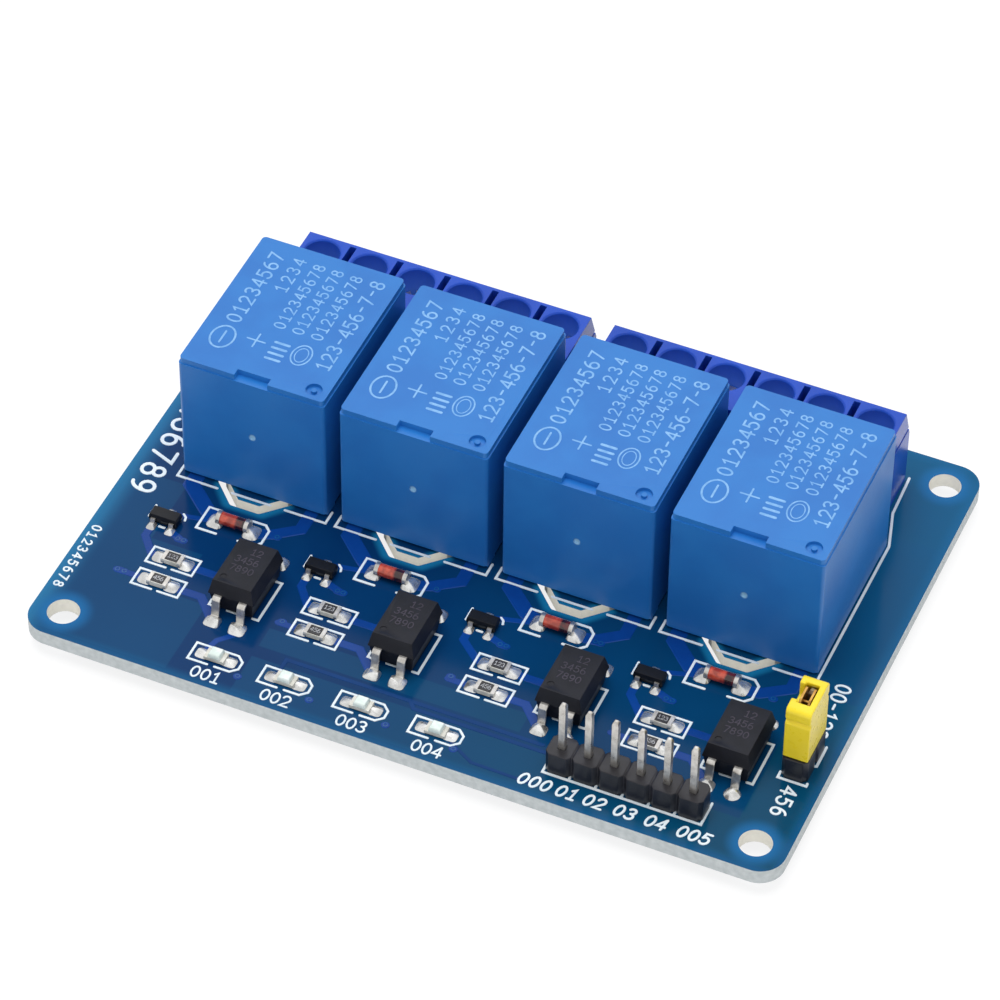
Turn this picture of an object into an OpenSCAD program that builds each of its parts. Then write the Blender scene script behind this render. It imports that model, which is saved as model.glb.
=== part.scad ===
// Four-channel relay module board: circuit board, four sealed relays, two six-way
// screw terminal blocks, four optocoupler channels, input pin header and jumper.
// Millimetres. The origin is the middle of the mounting-hole pattern on the board's
// underside, +X along the long side, +Y towards the screw terminals, +Z up.

/* [Board] */
// Thickness of the circuit board
board_t = 1.6; // [1:0.2:2.4]
// Radius of the board's corners
board_corner_r = 2.5; // [1:0.1:3]
// Diameter of the mounting holes
hole_d = 3.1; // [2.2:0.1:3.3]
// Distance from the board's edges to a mounting hole's centre
hole_inset = 3.1; // [2.8:0.1:3.4]
// Bare board left of the first relay
left_margin = 5.1; // [4.8:0.1:12]
// Bare board right of the last relay
right_margin = 5.4; // [5.2:0.1:12]
// Bare board behind the terminal blocks
back_margin = 3.9; // [1:0.1:8]

/* [Relays] */
// Width of a relay cover
relay_w = 15; // [14.6:0.1:17]
// Length of a relay cover, front to back
relay_l = 18.5; // [17.5:0.1:22]
// Height of a relay cover
relay_h = 14.7; // [12:0.1:20]
// Free space between neighbouring relays
relay_gap = 1.5; // [0.5:0.1:4]
// Free space between the relay row and the terminal blocks
relay_terminal_gap = 0.9; // [0.4:0.1:3]
// Distance from the board's front edge to the relay row
relay_front = 24; // [23.8:0.1:30]
// Height of the feet that hold a relay off the board
relay_standoff = 0.3; // [0.1:0.1:0.8]
// Radius of a relay cover's upright edges
relay_edge_r = 0.4; // [0.2:0.1:1]
// Height of the stepped rim round a relay's top
relay_rim_h = 0.65; // [0.3:0.05:1.2]
// How far the stepped rim stands in
relay_rim_step = 0.12; // [0.1:0.02:0.3]
// Width of the notch in a relay's front rim
notch_w = 3.4; // [2:0.1:5]
// Depth of the notch, front to back
notch_l = 0.95; // [0.5:0.05:1.5]
// Diameter of the vent dimple in a relay's top
dimple_d = 1.6; // [1:0.1:2.2]
// Depth of the vent dimple
dimple_depth = 0.35; // [0.2:0.05:0.6]
// Thickness of the relay's base plate
base_t = 1.2; // [0.8:0.1:2]
// Wall of the cover round the base plate
base_wall = 0.8; // [0.6:0.1:0.9]
// Width of the three switch contact tabs
contact_w = 1; // [0.6:0.1:1.2]
// Width of the two coil pins
coil_pin_w = 0.6; // [0.5:0.1:0.8]
// Thickness of tabs and coil pins
contact_t = 0.5; // [0.3:0.1:0.6]
// Distance from a relay's front face to its common contact tab
common_inset = 2.3; // [2:0.1:3]
// Distance from the common tab back to the coil pins
coil_row = 2; // [1.8:0.1:2.4]
// Distance from a relay's back face in to the switched tabs
switched_inset = 2; // [1.6:0.1:2.6]
// Distance from a relay's side faces in to coil pins and switched tabs
relay_pin_inset = 1.5; // [1.4:0.1:1.8]

/* [Isolation slots] */
// Width of the milled slot round each common contact
slot_w = 0.95; // [0.6:0.05:1.2]
// Distance from the common tab forward to the slot's middle line
slot_reach = 4; // [3.6:0.1:4.2]
// Length of the slot's straight front
slot_flat = 2.6; // [1.6:0.1:3.6]

/* [Terminal blocks] */
// Distance between neighbouring wire entries
terminal_pitch = 5; // [5:0.02:5.1]
// Depth of a housing, front to back
terminal_depth = 7.7; // [7.4:0.1:9]
// Height of a housing
terminal_h = 10; // [9.8:0.1:13]
// Free space between the two housings
terminal_gap = 2; // [0.5:0.1:2.2]
// Length that each end of a housing lacks of half a pitch
terminal_end_trim = 0.2; // [0:0.05:0.25]
// Height at which the wire face starts to lean in
terminal_knee_h = 6.4; // [6:0.1:7]
// How far the wire face leans in at the top
terminal_lean = 1.4; // [1:0.1:1.5]
// Distance of the screws behind the middle of the housing
screw_offset = 0.2; // [0:0.05:0.25]
// Diameter of a screw well
well_d = 3.5; // [3.4:0.1:3.8]
// Width of the slot between two wells
well_slot_w = 0.65; // [0.4:0.05:0.7]
// Width of a wire entry
entry_w = 3.7; // [3.5:0.1:3.9]
// Height of a wire entry
entry_h = 4.6; // [4.4:0.1:4.7]
// Floor of the housing under a wire entry
terminal_floor = 1; // [0.8:0.1:1.1]
// Diameter of a screw's head
screw_head_d = 3.3; // [2.9:0.1:3.3]
// Height of a screw's head
screw_head_h = 1.2; // [0.8:0.1:1.5]
// Outer diameter of a screw's thread
screw_d = 2.4; // [2:0.1:2.5]
// Length of a screw under its head
screw_l = 2.9; // [2.2:0.1:3]
// Sheet thickness of a clamp cage
cage_t = 0.5; // [0.4:0.05:0.6]
// Length of a clamp cage along the wire
cage_l = 4.2; // [3.6:0.1:4.6]
// Width of a terminal's solder pin
terminal_pin_w = 1; // [0.8:0.1:1.1]

/* [Optocouplers] */
// Distance from the board's front edge to the optocouplers' middle
opto_y = 12.15; // [12.1:0.05:12.6]
// Width of an optocoupler body
opto_w = 4.6; // [4.4:0.1:4.9]
// Length of an optocoupler body
opto_l = 6.5; // [6.2:0.1:6.8]
// Height of an optocoupler body
opto_h = 3.5; // [3:0.1:4]
// Gap under an optocoupler body
opto_standoff = 0.3; // [0.1:0.05:0.4]
// Width of an optocoupler lead
opto_lead_w = 0.8; // [0.6:0.1:1.1]
// Sheet thickness of an optocoupler lead
opto_lead_t = 0.25; // [0.2:0.05:0.3]
// Tip-to-tip length over the leads
opto_lead_span = 9.9; // [9.6:0.1:10.2]

/* [Transistors] */
// Distance from the board's front edge to the transistors' middle
transistor_y = 17.4; // [17.2:0.1:18]
// Width of a transistor body
transistor_w = 2.95; // [2.8:0.05:3.1]
// Length of a transistor body, front to back
transistor_l = 1.35; // [1.2:0.05:1.5]
// Height of a transistor body
transistor_h = 1; // [0.8:0.05:1.2]
// Tip-to-tip length over the transistor leads
transistor_lead_span = 2.5; // [2.3:0.1:2.7]
// Distance between the two front leads
transistor_lead_pitch = 1.9; // [1.8:0.05:2]

/* [Diodes] */
// Distance from a diode's middle back to the relay row
diode_setback = 4.7; // [4.4:0.1:4.9]
// Length of a diode over its caps
diode_l = 3.3; // [3.2:0.1:3.7]
// Diameter of a diode's end caps
diode_d = 1.35; // [1.2:0.05:1.6]
// Length of one end cap
diode_cap_l = 0.4; // [0.3:0.05:0.6]
// How much thinner the glass is than the caps
diode_glass_relief = 0.12; // [0.02:0.02:0.2]

/* [Chip parts] */
// Length of a chip resistor or lamp
chip_l = 2; // [1.8:0.1:2.2]
// Width of a chip resistor or lamp
chip_w = 1.25; // [1:0.05:1.4]
// Height of a chip resistor
resistor_h = 0.5; // [0.4:0.05:0.7]
// Length of a chip's metal end
chip_end_l = 0.35; // [0.2:0.05:0.5]
// Distance between the two resistor rows
resistor_row_gap = 3.03; // [2.6:0.05:3.4]
// Thickness of a lamp's base strip
lamp_base_t = 0.35; // [0.2:0.05:0.5]
// Height of a lamp's lens above the strip
lamp_lens_h = 0.5; // [0.3:0.05:0.9]
// Distance from the board's front edge to the lamp row
lamp_y = 3.6; // [3.2:0.1:4]

/* [Pin headers] */
// Number of input pins
input_pins = 6; // [4:1:6]
// Distance between header pins
pin_pitch = 2.54; // [2:0.01:2.6]
// Side of a square pin
pin_side = 0.64; // [0.5:0.02:0.7]
// Height of a header's plastic strip
strip_h = 2.54; // [2:0.02:3]
// Height of the header pins above the strip
pin_rise = 5.76; // [5:0.02:7]
// Bevel of the strip's corners between two pins
strip_bevel = 0.4; // [0.2:0.05:0.6]
// Distance from the front edge to the input pin row
input_y = 4.5; // [4.2:0.1:4.8]
// Distance from the right edge to the last input pin
input_inset = 9.67; // [9:0.01:12]
// Distance from the right edge to the jumper pins
jumper_inset = 2.8; // [2.7:0.1:2.9]
// Distance from the front edge to the jumper's first pin
jumper_y = 12.6; // [11:0.05:13]

/* [Jumper cap] */
// Width of the jumper cap
cap_w = 2.45; // [2.3:0.05:2.6]
// Length of the jumper cap
cap_l = 4.7; // [4.6:0.1:5]
// Height of the jumper cap
cap_h = 6.3; // [6.2:0.1:8]
// Radius of the cap's two rounded upper edges
cap_edge_r = 0.55; // [0.3:0.05:0.9]
// Depth of the finger groove across the cap's ends
cap_groove = 0.3; // [0.1:0.02:0.3]
// Length of the opening in the cap's top
cap_window_l = 2.6; // [1.6:0.1:3]
// Thickness of the contact's spring sheet
spring_t = 0.2; // [0.15:0.05:0.3]

/* [Solder] */
// How far pins and tabs stand out under the board
pin_tail = 1.5; // [1.2:0.1:2.5]
// Thickness of the solder between a chip and the board
solder_t = 0.1; // [0.04:0.02:0.2]
// Height of a solder cone on the underside
solder_cone_h = 1; // [0.6:0.1:1.1]
// Width of the solder ring round a hole
solder_ring = 0.5; // [0.3:0.05:0.6]

/* [Hidden] */
$fn = 48;
channels = 4;
ways = 6;                 // wire entries in one terminal housing
eps = 0.01;               // overrun of a cut past the face it opens
slide = 0.02;             // clearance of a round piece in its seat
play = 0.1;               // clearance of a loose piece in its pocket
hole_play = 0.2;          // clearance of a pin's corners in its drilled hole

relay_pitch = relay_w + relay_gap;
relay_pin_span = relay_w - 2 * relay_pin_inset;
dimple_inset = 1.6;       // from a cover's side face to the vent dimple's middle
board_l = left_margin + channels * relay_w + (channels - 1) * relay_gap + right_margin;
relay_back = relay_front + relay_l;
terminal_front = relay_back + relay_terminal_gap;
board_w = terminal_front + terminal_depth + back_margin;
first_relay_x = left_margin + relay_w / 2;
relays_x = first_relay_x + relay_pitch * (channels - 1) / 2;
rim_z = relay_standoff + relay_h - relay_rim_h;
common_y = relay_front + common_inset;

// Places that the layout shifts by hand, one value for each channel
opto_dx = [4.9, 4.6, 4.7, 4.5];
resistor_dx = [-3.1, -3.5, -2.85, -3.2];
transistor_dx = [-6.05, -6.4, -6.4, -6.25];
diode_dx = [0.15, 0, 0.1, -0.1];
diode_dy = [0, 0, 0.35, 0.5];
lamp_x = [18.55, 25.6, 33.2, 40.7];

terminal_l = ways * terminal_pitch;
screw_y = terminal_depth / 2 + screw_offset;
terminal_y = terminal_front + screw_y;
well_floor_z = terminal_floor + entry_h + 0.5;
cage_w = entry_w - 2 * play;
cage_h = entry_h - play;
cage_z = terminal_floor;
terminal_pin_t = 0.8;
guard_reach = 1.8;        // how far a wire guard reaches past its screw
well_chamfer = 0.15;      // bevel round a screw well's mouth
well_slot_h = 2.6;        // depth of the slot between two wells
well_slot_wall = 1;       // wall in front of that slot

opto_lead_centres = 2.54;
opto_lead_z = opto_standoff + 0.54 * opto_h;
opto_foot = 0.9;
opto_draft = 0.35;        // how far the body's faces lean in
opto_ledge = 0.1;         // how far the upper half stands over the lower one
opto_knee_r = 1.4 * opto_lead_t;
opto_pad = 1.6;           // size of a lead's solder pad
opto_mound_h = 0.6;       // height of the solder over a foot
pad_t = solder_t;         // solder film that every chip stands on
chip_pad_l = 1.05;        // how far a chip's solder reaches past its end
chip_pad_side = 0.1;      // and past its sides
diode_pad_l = 1.6;
diode_pad_w = 1.9;
diode_pad_out = 0.2;      // from a cap's end to its pad's middle

input_x = board_l - input_inset - (input_pins - 1) * pin_pitch;
jumper_x = board_l - jumper_inset;
pin_tip = 0.35;           // length of a pin's pointed tip
pin_top = strip_h + pin_rise;
strip_groove = 0.12;      // V groove across the strip between two pins
cap_gap = 0.06;           // between the cap and the strip that it stands on
cap_z = strip_h + cap_gap;
jumper_mid = jumper_y + pin_pitch / 2;

NODES = [
  "circuit_board",
  for (i = [1:channels]) str("relay_cover_", i),
  for (i = [1:channels]) str("relay_base_", i),
  for (i = [1:channels]) str("relay_pins_", i),
  for (s = ["left", "right"]) str("terminal_housing_", s),
  for (s = ["left", "right"]) str("terminal_screws_", s),
  for (s = ["left", "right"]) str("terminal_cages_", s),
  for (s = ["left", "right"]) str("wire_guards_", s),
  for (i = [1:channels]) str("optocoupler_body_", i),
  for (i = [1:channels]) str("optocoupler_leads_", i),
  for (i = [1:channels]) str("transistor_body_", i),
  for (i = [1:channels]) str("transistor_leads_", i),
  for (i = [1:channels]) str("diode_glass_", i),
  for (i = [1:channels]) str("lamp_lens_", i),
  "diode_caps", "lamp_bases", "resistor_bodies", "resistor_caps",
  "input_header_strip", "input_header_pins",
  "jumper_header_strip", "jumper_header_pins", "jumper_cap", "jumper_contact",
  "solder_joints_top", "solder_joints_bottom"
];
node = "all";

// Places, measured from the board's front left corner ------------------------------

function relay_x(i) = first_relay_x + i * relay_pitch;
function opto_x(i) = relay_x(i) + opto_dx[i];
function resistor_x(i) = relay_x(i) + resistor_dx[i];
function resistor_y(row) = opto_y + 0.85 - row * resistor_row_gap;
function transistor_x(i) = relay_x(i) + transistor_dx[i];
function diode_x(i) = relay_x(i) + diode_dx[i];
function diode_y(i) = relay_front - diode_setback + diode_dy[i];
function housing_x(side) = relays_x - terminal_gap / 2 - terminal_l + side * (terminal_l + terminal_gap);
function way_x(side, k) = housing_x(side) + (k + 0.5) * terminal_pitch;

// A relay's pins as [x, y, width, is a coil pin], from the middle of its front face
function relay_pin_table() = [
  [0, common_inset, contact_w, false],
  for (s = [-1, 1]) [s * relay_pin_span / 2, common_inset + coil_row, coil_pin_w, true],
  for (s = [-1, 1]) [s * relay_pin_span / 2, relay_l - switched_inset, contact_w, false]
];

// Every soldered pin as [x, y, width, thickness]
function relay_joints() = [for (i = [0:channels - 1], p = relay_pin_table())
  [relay_x(i) + p[0], relay_front + p[1], p[2], contact_t]];
function terminal_joints() = [for (side = [0, 1], k = [0:ways - 1])
  [way_x(side, k), terminal_y, terminal_pin_w, terminal_pin_t]];
function header_joints() = [
  for (k = [0:input_pins - 1]) [input_x + k * pin_pitch, input_y, pin_side, pin_side],
  for (k = [0, 1]) [jumper_x, jumper_y + k * pin_pitch, pin_side, pin_side]];
function pin_hole_r(j) = norm([j[2], j[3]]) / 2 + hole_play / 2;

// Helpers ---------------------------------------------------------------------------

// Children drawn from the board's front left corner, z from its top face
module on_board(x = 0, y = 0, z = 0) {
  translate([x - board_l / 2, y - board_w / 2, board_t + z]) children();
}

// A flat rectangle with round corners, from the corner [0, 0]
module round_rect(l, w, r) {
  translate([r, 0]) square([l - 2 * r, w]);
  translate([0, r]) square([l, w - 2 * r]);
  for (x = [r, l - r], y = [r, w - r]) translate([x, y]) circle(r);
}

// A box standing on z = 0 with its middle on the Z axis
module block(l, w, h) {
  translate([-l / 2, -w / 2, 0]) cube([l, w, h]);
}

// Children with a profile of [across, up] turned to stand and run along X or Y
module along_x(l) {
  rotate([90, 0, 90]) translate([0, 0, -l / 2]) linear_extrude(l) children();
}
module along_y(l) {
  rotate([90, 0, 0]) translate([0, 0, -l / 2]) linear_extrude(l) children();
}

// A square bar from z0 to z1 with pointed ends, the middle on the Z axis
module square_pin(side, z0, z1, tip) {
  s = side / 2;
  n = s / 2;
  upper = [[s, z1 - tip], [n, z1], [-n, z1], [-s, z1 - tip]];
  outline = concat([[-s, z0 + tip], [-n, z0], [n, z0], [s, z0 + tip]], upper);
  intersection() {
    along_x(side) polygon(outline);
    along_y(side) polygon(outline);
  }
}

// A moulded body that leans in by draft above and below its parting line. The upper half
// may stand over the lower one by a ledge.
module drafted_body(w, l, h, part_z, draft, ledge = 0) {
  function flank(s) = ledge > 0
    ? [[s - draft, 0], [s - ledge, part_z], [s, part_z], [s, part_z + ledge], [s - draft, h]]
    : [[s - draft, 0], [s, part_z], [s - draft, h]];
  function side(s) = concat(flank(s), [for (k = [len(flank(s)) - 1:-1:0]) [-flank(s)[k][0], flank(s)[k][1]]]);
  intersection() {
    along_y(l) polygon(side(w / 2));
    along_x(w) polygon(side(l / 2));
  }
}

// Outline of a strip of thickness t that follows the path p, with mitred bends
function unit(v) = v / norm(v);
function left_of(v) = [-v[1], v[0]];
function offset_point(p, k, d) =
  let (a = k == 0 ? unit(p[1] - p[0]) : unit(p[k] - p[k - 1]),
       b = k == len(p) - 1 ? a : unit(p[k + 1] - p[k]),
       m = unit(left_of(a) + left_of(b)))
  p[k] + m * d / (m * left_of(a));
function strip(p, t) = concat(
  [for (k = [0:len(p) - 1]) offset_point(p, k, t / 2)],
  [for (k = [len(p) - 1:-1:0]) offset_point(p, k, -t / 2)]);

// Board -----------------------------------------------------------------------------

// Middle line of the isolation slot, from the common tab
function slot_path() =
  let (half = relay_pin_span / 2 - coil_pin_w - 1.3, flat = slot_flat / 2)
  [[-half, 1.2], [-half, half - flat - slot_reach], [-flat, -slot_reach],
   [flat, -slot_reach], [half, half - flat - slot_reach], [half, 1.2]];

module slot_outline() {
  p = slot_path();
  for (k = [0:len(p) - 1]) translate(p[k]) circle(d = slot_w);
  for (k = [0:len(p) - 2]) {
    run = p[k + 1] - p[k];
    translate(p[k]) rotate(atan2(run[1], run[0]))
      translate([0, -slot_w / 2]) square([norm(run), slot_w]);
  }
}

module circuit_board() {
  color([0.07, 0.3, 0.48]) translate([-board_l / 2, -board_w / 2, 0]) difference() {
    linear_extrude(board_t) round_rect(board_l, board_w, board_corner_r);
    for (x = [hole_inset, board_l - hole_inset], y = [hole_inset, board_w - hole_inset])
      translate([x, y, -eps]) cylinder(d = hole_d, h = board_t + 2 * eps);
    for (i = [0:channels - 1])
      translate([relay_x(i), common_y, -eps]) linear_extrude(board_t + 2 * eps) slot_outline();
    for (j = concat(relay_joints(), terminal_joints(), header_joints()))
      translate([j[0], j[1], -eps]) cylinder(r = pin_hole_r(j), h = board_t + 2 * eps, $fn = 24);
  }
}

// Relays ----------------------------------------------------------------------------

module relay_cover(i) {
  w = relay_w;
  l = relay_l;
  gate_z = relay_standoff + relay_h / 2;
  color([0.11, 0.38, 0.75]) on_board(relay_x(i), relay_front) difference() {
    union() {
      translate([-w / 2, 0, relay_standoff])
        linear_extrude(relay_h - relay_rim_h) round_rect(w, l, relay_edge_r);
      translate([-w / 2 + relay_rim_step, relay_rim_step, rim_z])
        linear_extrude(relay_rim_h)
          round_rect(w - 2 * relay_rim_step, l - 2 * relay_rim_step, relay_edge_r);
      relay_feet();
    }
    translate([-notch_w / 2, -eps, rim_z]) cube([notch_w, notch_l + eps, relay_rim_h + eps]);
    vent_dimple();
    translate([0, -eps, gate_z]) rotate([-90, 0, 0]) cylinder(r = 0.35, h = 0.12, $fn = 24);
    translate([-w / 2 + base_wall, base_wall, relay_standoff - eps])
      cube([w - 2 * base_wall, l - 2 * base_wall, base_t + eps]);
  }
}

// Four small feet at the corners of the cover's lower edge
module relay_feet() {
  foot = base_wall;
  for (s = [-1, 1], y = [relay_edge_r, relay_l - relay_edge_r - 2 * foot])
    translate([s * (relay_w / 2 - foot / 2) - foot / 2, y, 0])
      cube([foot, 2 * foot, relay_standoff + eps]);
}

// Round dimple with the small nib that is cut off to vent the relay
module vent_dimple() {
  top = relay_standoff + relay_h;
  translate([relay_w / 2 - dimple_inset, 0.85 * dimple_inset, top - dimple_depth]) difference() {
    cylinder(d = dimple_d, h = dimple_depth + eps);
    translate([0, 0, -eps]) cylinder(r = 0.28, h = dimple_depth - 0.05, $fn = 24);
  }
}

module relay_base(i) {
  in = base_wall + slide;
  color([0.1, 0.14, 0.2]) on_board(relay_x(i), relay_front, relay_standoff) difference() {
    translate([-relay_w / 2 + in, in, 0]) cube([relay_w - 2 * in, relay_l - 2 * in, base_t]);
    for (p = relay_pin_table()) translate([p[0], p[1], -eps]) block(p[2], contact_t, base_t + 2 * eps);
  }
}

module relay_pins(i) {
  top = relay_standoff + base_t;
  color([0.8, 0.78, 0.72]) on_board(relay_x(i), relay_front)
    for (p = relay_pin_table())
      translate([p[0], p[1], -board_t - pin_tail]) block(p[2], contact_t, top + board_t + pin_tail);
}

// Terminal blocks -------------------------------------------------------------------

module terminal_housing(side) {
  d = terminal_depth;
  middle = terminal_l / 2;
  color([0.2, 0.3, 0.78]) on_board(housing_x(side), terminal_front) difference() {
    translate([middle, 0, 0]) along_x(terminal_l - 2 * terminal_end_trim)
      polygon([[0, 0], [d, 0], [d, terminal_knee_h], [d - terminal_lean, terminal_h],
        [0, terminal_h]]);
    for (k = [0:ways - 1]) translate([(k + 0.5) * terminal_pitch, 0, 0]) terminal_way_cuts();
    for (k = [1:ways - 1]) translate([k * terminal_pitch, 0, 0]) well_slot_cut();
    for (x = [terminal_end_trim, terminal_l - terminal_end_trim])
      translate([x, 0, terminal_knee_h + 0.6]) end_groove_cut();
  }
}

// Wire entry, screw hole, screw well and pin slot of one way
module terminal_way_cuts() {
  back_wall = 1;
  pin_play = 2 * play;
  translate([-entry_w / 2, back_wall, terminal_floor])
    cube([entry_w, terminal_depth - back_wall + eps, entry_h]);
  translate([0, screw_y, terminal_floor]) cylinder(d = screw_d + 2 * play, h = terminal_h);
  translate([0, screw_y, well_floor_z]) cylinder(d = well_d, h = terminal_h);
  translate([0, screw_y, terminal_h - well_chamfer])
    cylinder(d1 = well_d, d2 = well_d + 2 * (well_chamfer + eps), h = well_chamfer + eps);
  translate([0, screw_y, -eps])
    block(terminal_pin_w + pin_play, terminal_pin_t + pin_play, terminal_floor + 2 * eps);
}

// Blind slot in the top between two screw wells
module well_slot_cut() {
  end = terminal_depth - terminal_lean - 0.35 * well_slot_wall;
  translate([-well_slot_w / 2, well_slot_wall, terminal_h - well_slot_h])
    cube([well_slot_w, end - well_slot_wall, well_slot_h + eps]);
}

// Shallow groove along an end face, where a further block would hook on
module end_groove_cut() {
  depth = 0.15;
  translate([-depth, -eps, 0]) cube([2 * depth, terminal_depth, 0.35]);
}

module terminal_screws(side) {
  slot_l = screw_head_d + 2 * eps;
  color([0.75, 0.75, 0.73]) for (k = [0:ways - 1])
    on_board(way_x(side, k), terminal_y, well_floor_z) {
      difference() {
        cylinder(d = screw_head_d, h = screw_head_h);
        rotate(25 + 50 * k) translate([0, 0, screw_head_h - 0.5]) {
          block(slot_l, 0.55, 1);
          rotate(90) block(screw_head_d * 0.62, 0.55, 1);
        }
      }
      translate([0, 0, -screw_l]) cylinder(d = screw_d, h = screw_l);
    }
}

// Folded clamp cages with their solder pins
module terminal_cages(side) {
  color([0.78, 0.72, 0.5]) for (k = [0:ways - 1])
    on_board(way_x(side, k), terminal_y) {
      difference() {
        translate([0, 0, cage_z]) block(cage_w, cage_l, cage_h);
        translate([0, 0, cage_z + cage_t])
          block(cage_w - 2 * cage_t, cage_l + 2 * eps, cage_h - 2 * cage_t);
        translate([0, 0, cage_z + cage_h / 2]) cylinder(d = screw_d + 2 * slide, h = cage_h);
      }
      translate([0, 0, -board_t - pin_tail])
        block(terminal_pin_w, terminal_pin_t, board_t + pin_tail + cage_z + eps);
    }
}

// Bent spring leaf that keeps the screw from cutting the wire
module wire_guards(side) {
  leaf_t = 0.25;
  leaf_w = cage_w - 2 * cage_t - 2 * play;
  tip_z = well_floor_z - screw_l - leaf_t / 2;
  mouth = terminal_depth - screw_y;
  base_z = cage_z + cage_t + leaf_t / 2;
  path = [[mouth - 0.8, base_z + 0.2], [mouth - 0.8, tip_z - 0.4], [mouth - 1.2, tip_z],
    [0.4 - guard_reach, tip_z], [-guard_reach, tip_z - 0.4]];
  color([0.7, 0.7, 0.66]) for (k = [0:ways - 1])
    on_board(way_x(side, k), terminal_y) along_x(leaf_w) polygon(strip(path, leaf_t));
}

// Optocouplers ----------------------------------------------------------------------

module optocoupler_body(i) {
  part_z = opto_lead_z - opto_standoff;
  dot_r = 0.35;
  color([0.14, 0.13, 0.16]) on_board(opto_x(i), opto_y, opto_standoff) difference() {
    drafted_body(opto_w, opto_l, opto_h, part_z, opto_draft, opto_ledge);
    translate([-opto_w / 2 + 1.1, -opto_l / 2 + 1.1, opto_h - 0.08]) cylinder(r = dot_r, h = 1, $fn = 24);
    for (s = [0, 180]) rotate(s) opto_lead_pair();
  }
}

// Side view of a lead, y outwards: shoulder, round knee, drop and foot
function opto_lead_path() =
  let (out = opto_lead_span / 2, z = opto_lead_z - opto_standoff, t = opto_lead_t, r = opto_knee_r,
       knee = opto_l / 2 + 0.6 * t, floor_z = pad_t + t / 2 - opto_standoff)
  concat([[opto_l / 2 - 2.4 * t, z]], [for (a = [90:-25:15]) [knee + r * cos(a), z - r + r * sin(a)]],
    [[out - opto_foot - 0.4 * t, floor_z + 0.9 * t], [out - opto_foot, floor_z + 0.2 * t],
     [out - opto_foot + 0.6 * t, floor_z], [out, floor_z]]);

// The two leads on one side, from the middle of the body's underside
module opto_lead_pair() {
  for (s = [-1, 1]) translate([s * opto_lead_centres / 2, 0, 0])
    along_x(opto_lead_w) polygon(strip(opto_lead_path(), opto_lead_t));
}

module optocoupler_leads(i) {
  color([0.75, 0.74, 0.72]) on_board(opto_x(i), opto_y, opto_standoff)
    for (s = [0, 180]) rotate(s) opto_lead_pair();
}

// Transistors -----------------------------------------------------------------------

transistor_lead_w = 0.45;
transistor_lead_t = 0.12;
transistor_lead_z = pad_t + 0.55 * transistor_h;

function transistor_lead_path() =
  let (out = transistor_lead_span / 2, face = transistor_l / 2, low = pad_t + transistor_lead_t / 2)
  [[face - 0.3, transistor_lead_z], [face + 0.12, transistor_lead_z],
   [out - 0.3, low], [out, low]];

module transistor_lead(x, turn) {
  rotate(turn) translate([x, 0, 0])
    along_x(transistor_lead_w) polygon(strip(transistor_lead_path(), transistor_lead_t));
}

module transistor_lead_set() {
  for (s = [-1, 1]) transistor_lead(s * transistor_lead_pitch / 2, 180);
  transistor_lead(0, 0);
}

module transistor_body(i) {
  color([0.12, 0.12, 0.13]) on_board(transistor_x(i), transistor_y) difference() {
    translate([0, 0, pad_t])
      drafted_body(transistor_w, transistor_l, transistor_h, transistor_lead_z - pad_t, 0.1);
    transistor_lead_set();
  }
}

module transistor_leads(i) {
  color([0.8, 0.8, 0.8]) on_board(transistor_x(i), transistor_y) transistor_lead_set();
}

// Diodes ----------------------------------------------------------------------------

diode_z = pad_t + diode_d / 2;

// A round bar along X about the diode's axis
module diode_bar(x0, x1, d) {
  translate([x0, 0, diode_z]) rotate([0, 90, 0]) cylinder(d = d, h = x1 - x0);
}

module diode_glass(i) {
  half = diode_l / 2 - diode_cap_l;
  color([0.75, 0.25, 0.15]) on_board(diode_x(i), diode_y(i))
    diode_bar(-half, half, diode_d - diode_glass_relief);
}

module diode_caps() {
  color([0.8, 0.8, 0.78]) for (i = [0:channels - 1], s = [-1, 1])
    on_board(diode_x(i), diode_y(i)) diode_bar(
      s > 0 ? diode_l / 2 - diode_cap_l : -diode_l / 2,
      s > 0 ? diode_l / 2 : diode_cap_l - diode_l / 2, diode_d);
}

// Chip resistors and lamps ----------------------------------------------------------

module resistor_bodies() {
  color([0.9, 0.9, 0.86]) for (i = [0:channels - 1], row = [0, 1])
    on_board(resistor_x(i), resistor_y(row), pad_t)
      block(chip_l - 2 * chip_end_l, chip_w, resistor_h);
}

module resistor_caps() {
  color([0.8, 0.8, 0.8]) for (i = [0:channels - 1], row = [0, 1], s = [-1, 1])
    on_board(resistor_x(i) + s * (chip_l - chip_end_l) / 2, resistor_y(row), pad_t)
      block(chip_end_l, chip_w, resistor_h);
}

module lamp_bases() {
  color([0.92, 0.92, 0.88]) for (i = [0:channels - 1])
    on_board(lamp_x[i], lamp_y, pad_t) block(chip_l, chip_w, lamp_base_t);
}

module lamp_lens(i) {
  lean = 0.3 * lamp_lens_h;
  bevel = 0.5 * lean;
  shoulder = 0.75 * lamp_lens_h;
  function side(half) = [[-half, 0], [half, 0], [half - bevel, shoulder], [half - lean, lamp_lens_h],
    [lean - half, lamp_lens_h], [bevel - half, shoulder]];
  color([0.85, 0.95, 0.88]) on_board(lamp_x[i], lamp_y, pad_t + lamp_base_t) intersection() {
    along_y(chip_w) polygon(side(chip_l / 2 - chip_end_l));
    along_x(chip_l) polygon(side(chip_w / 2));
  }
}

// Pin headers -----------------------------------------------------------------------

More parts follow.
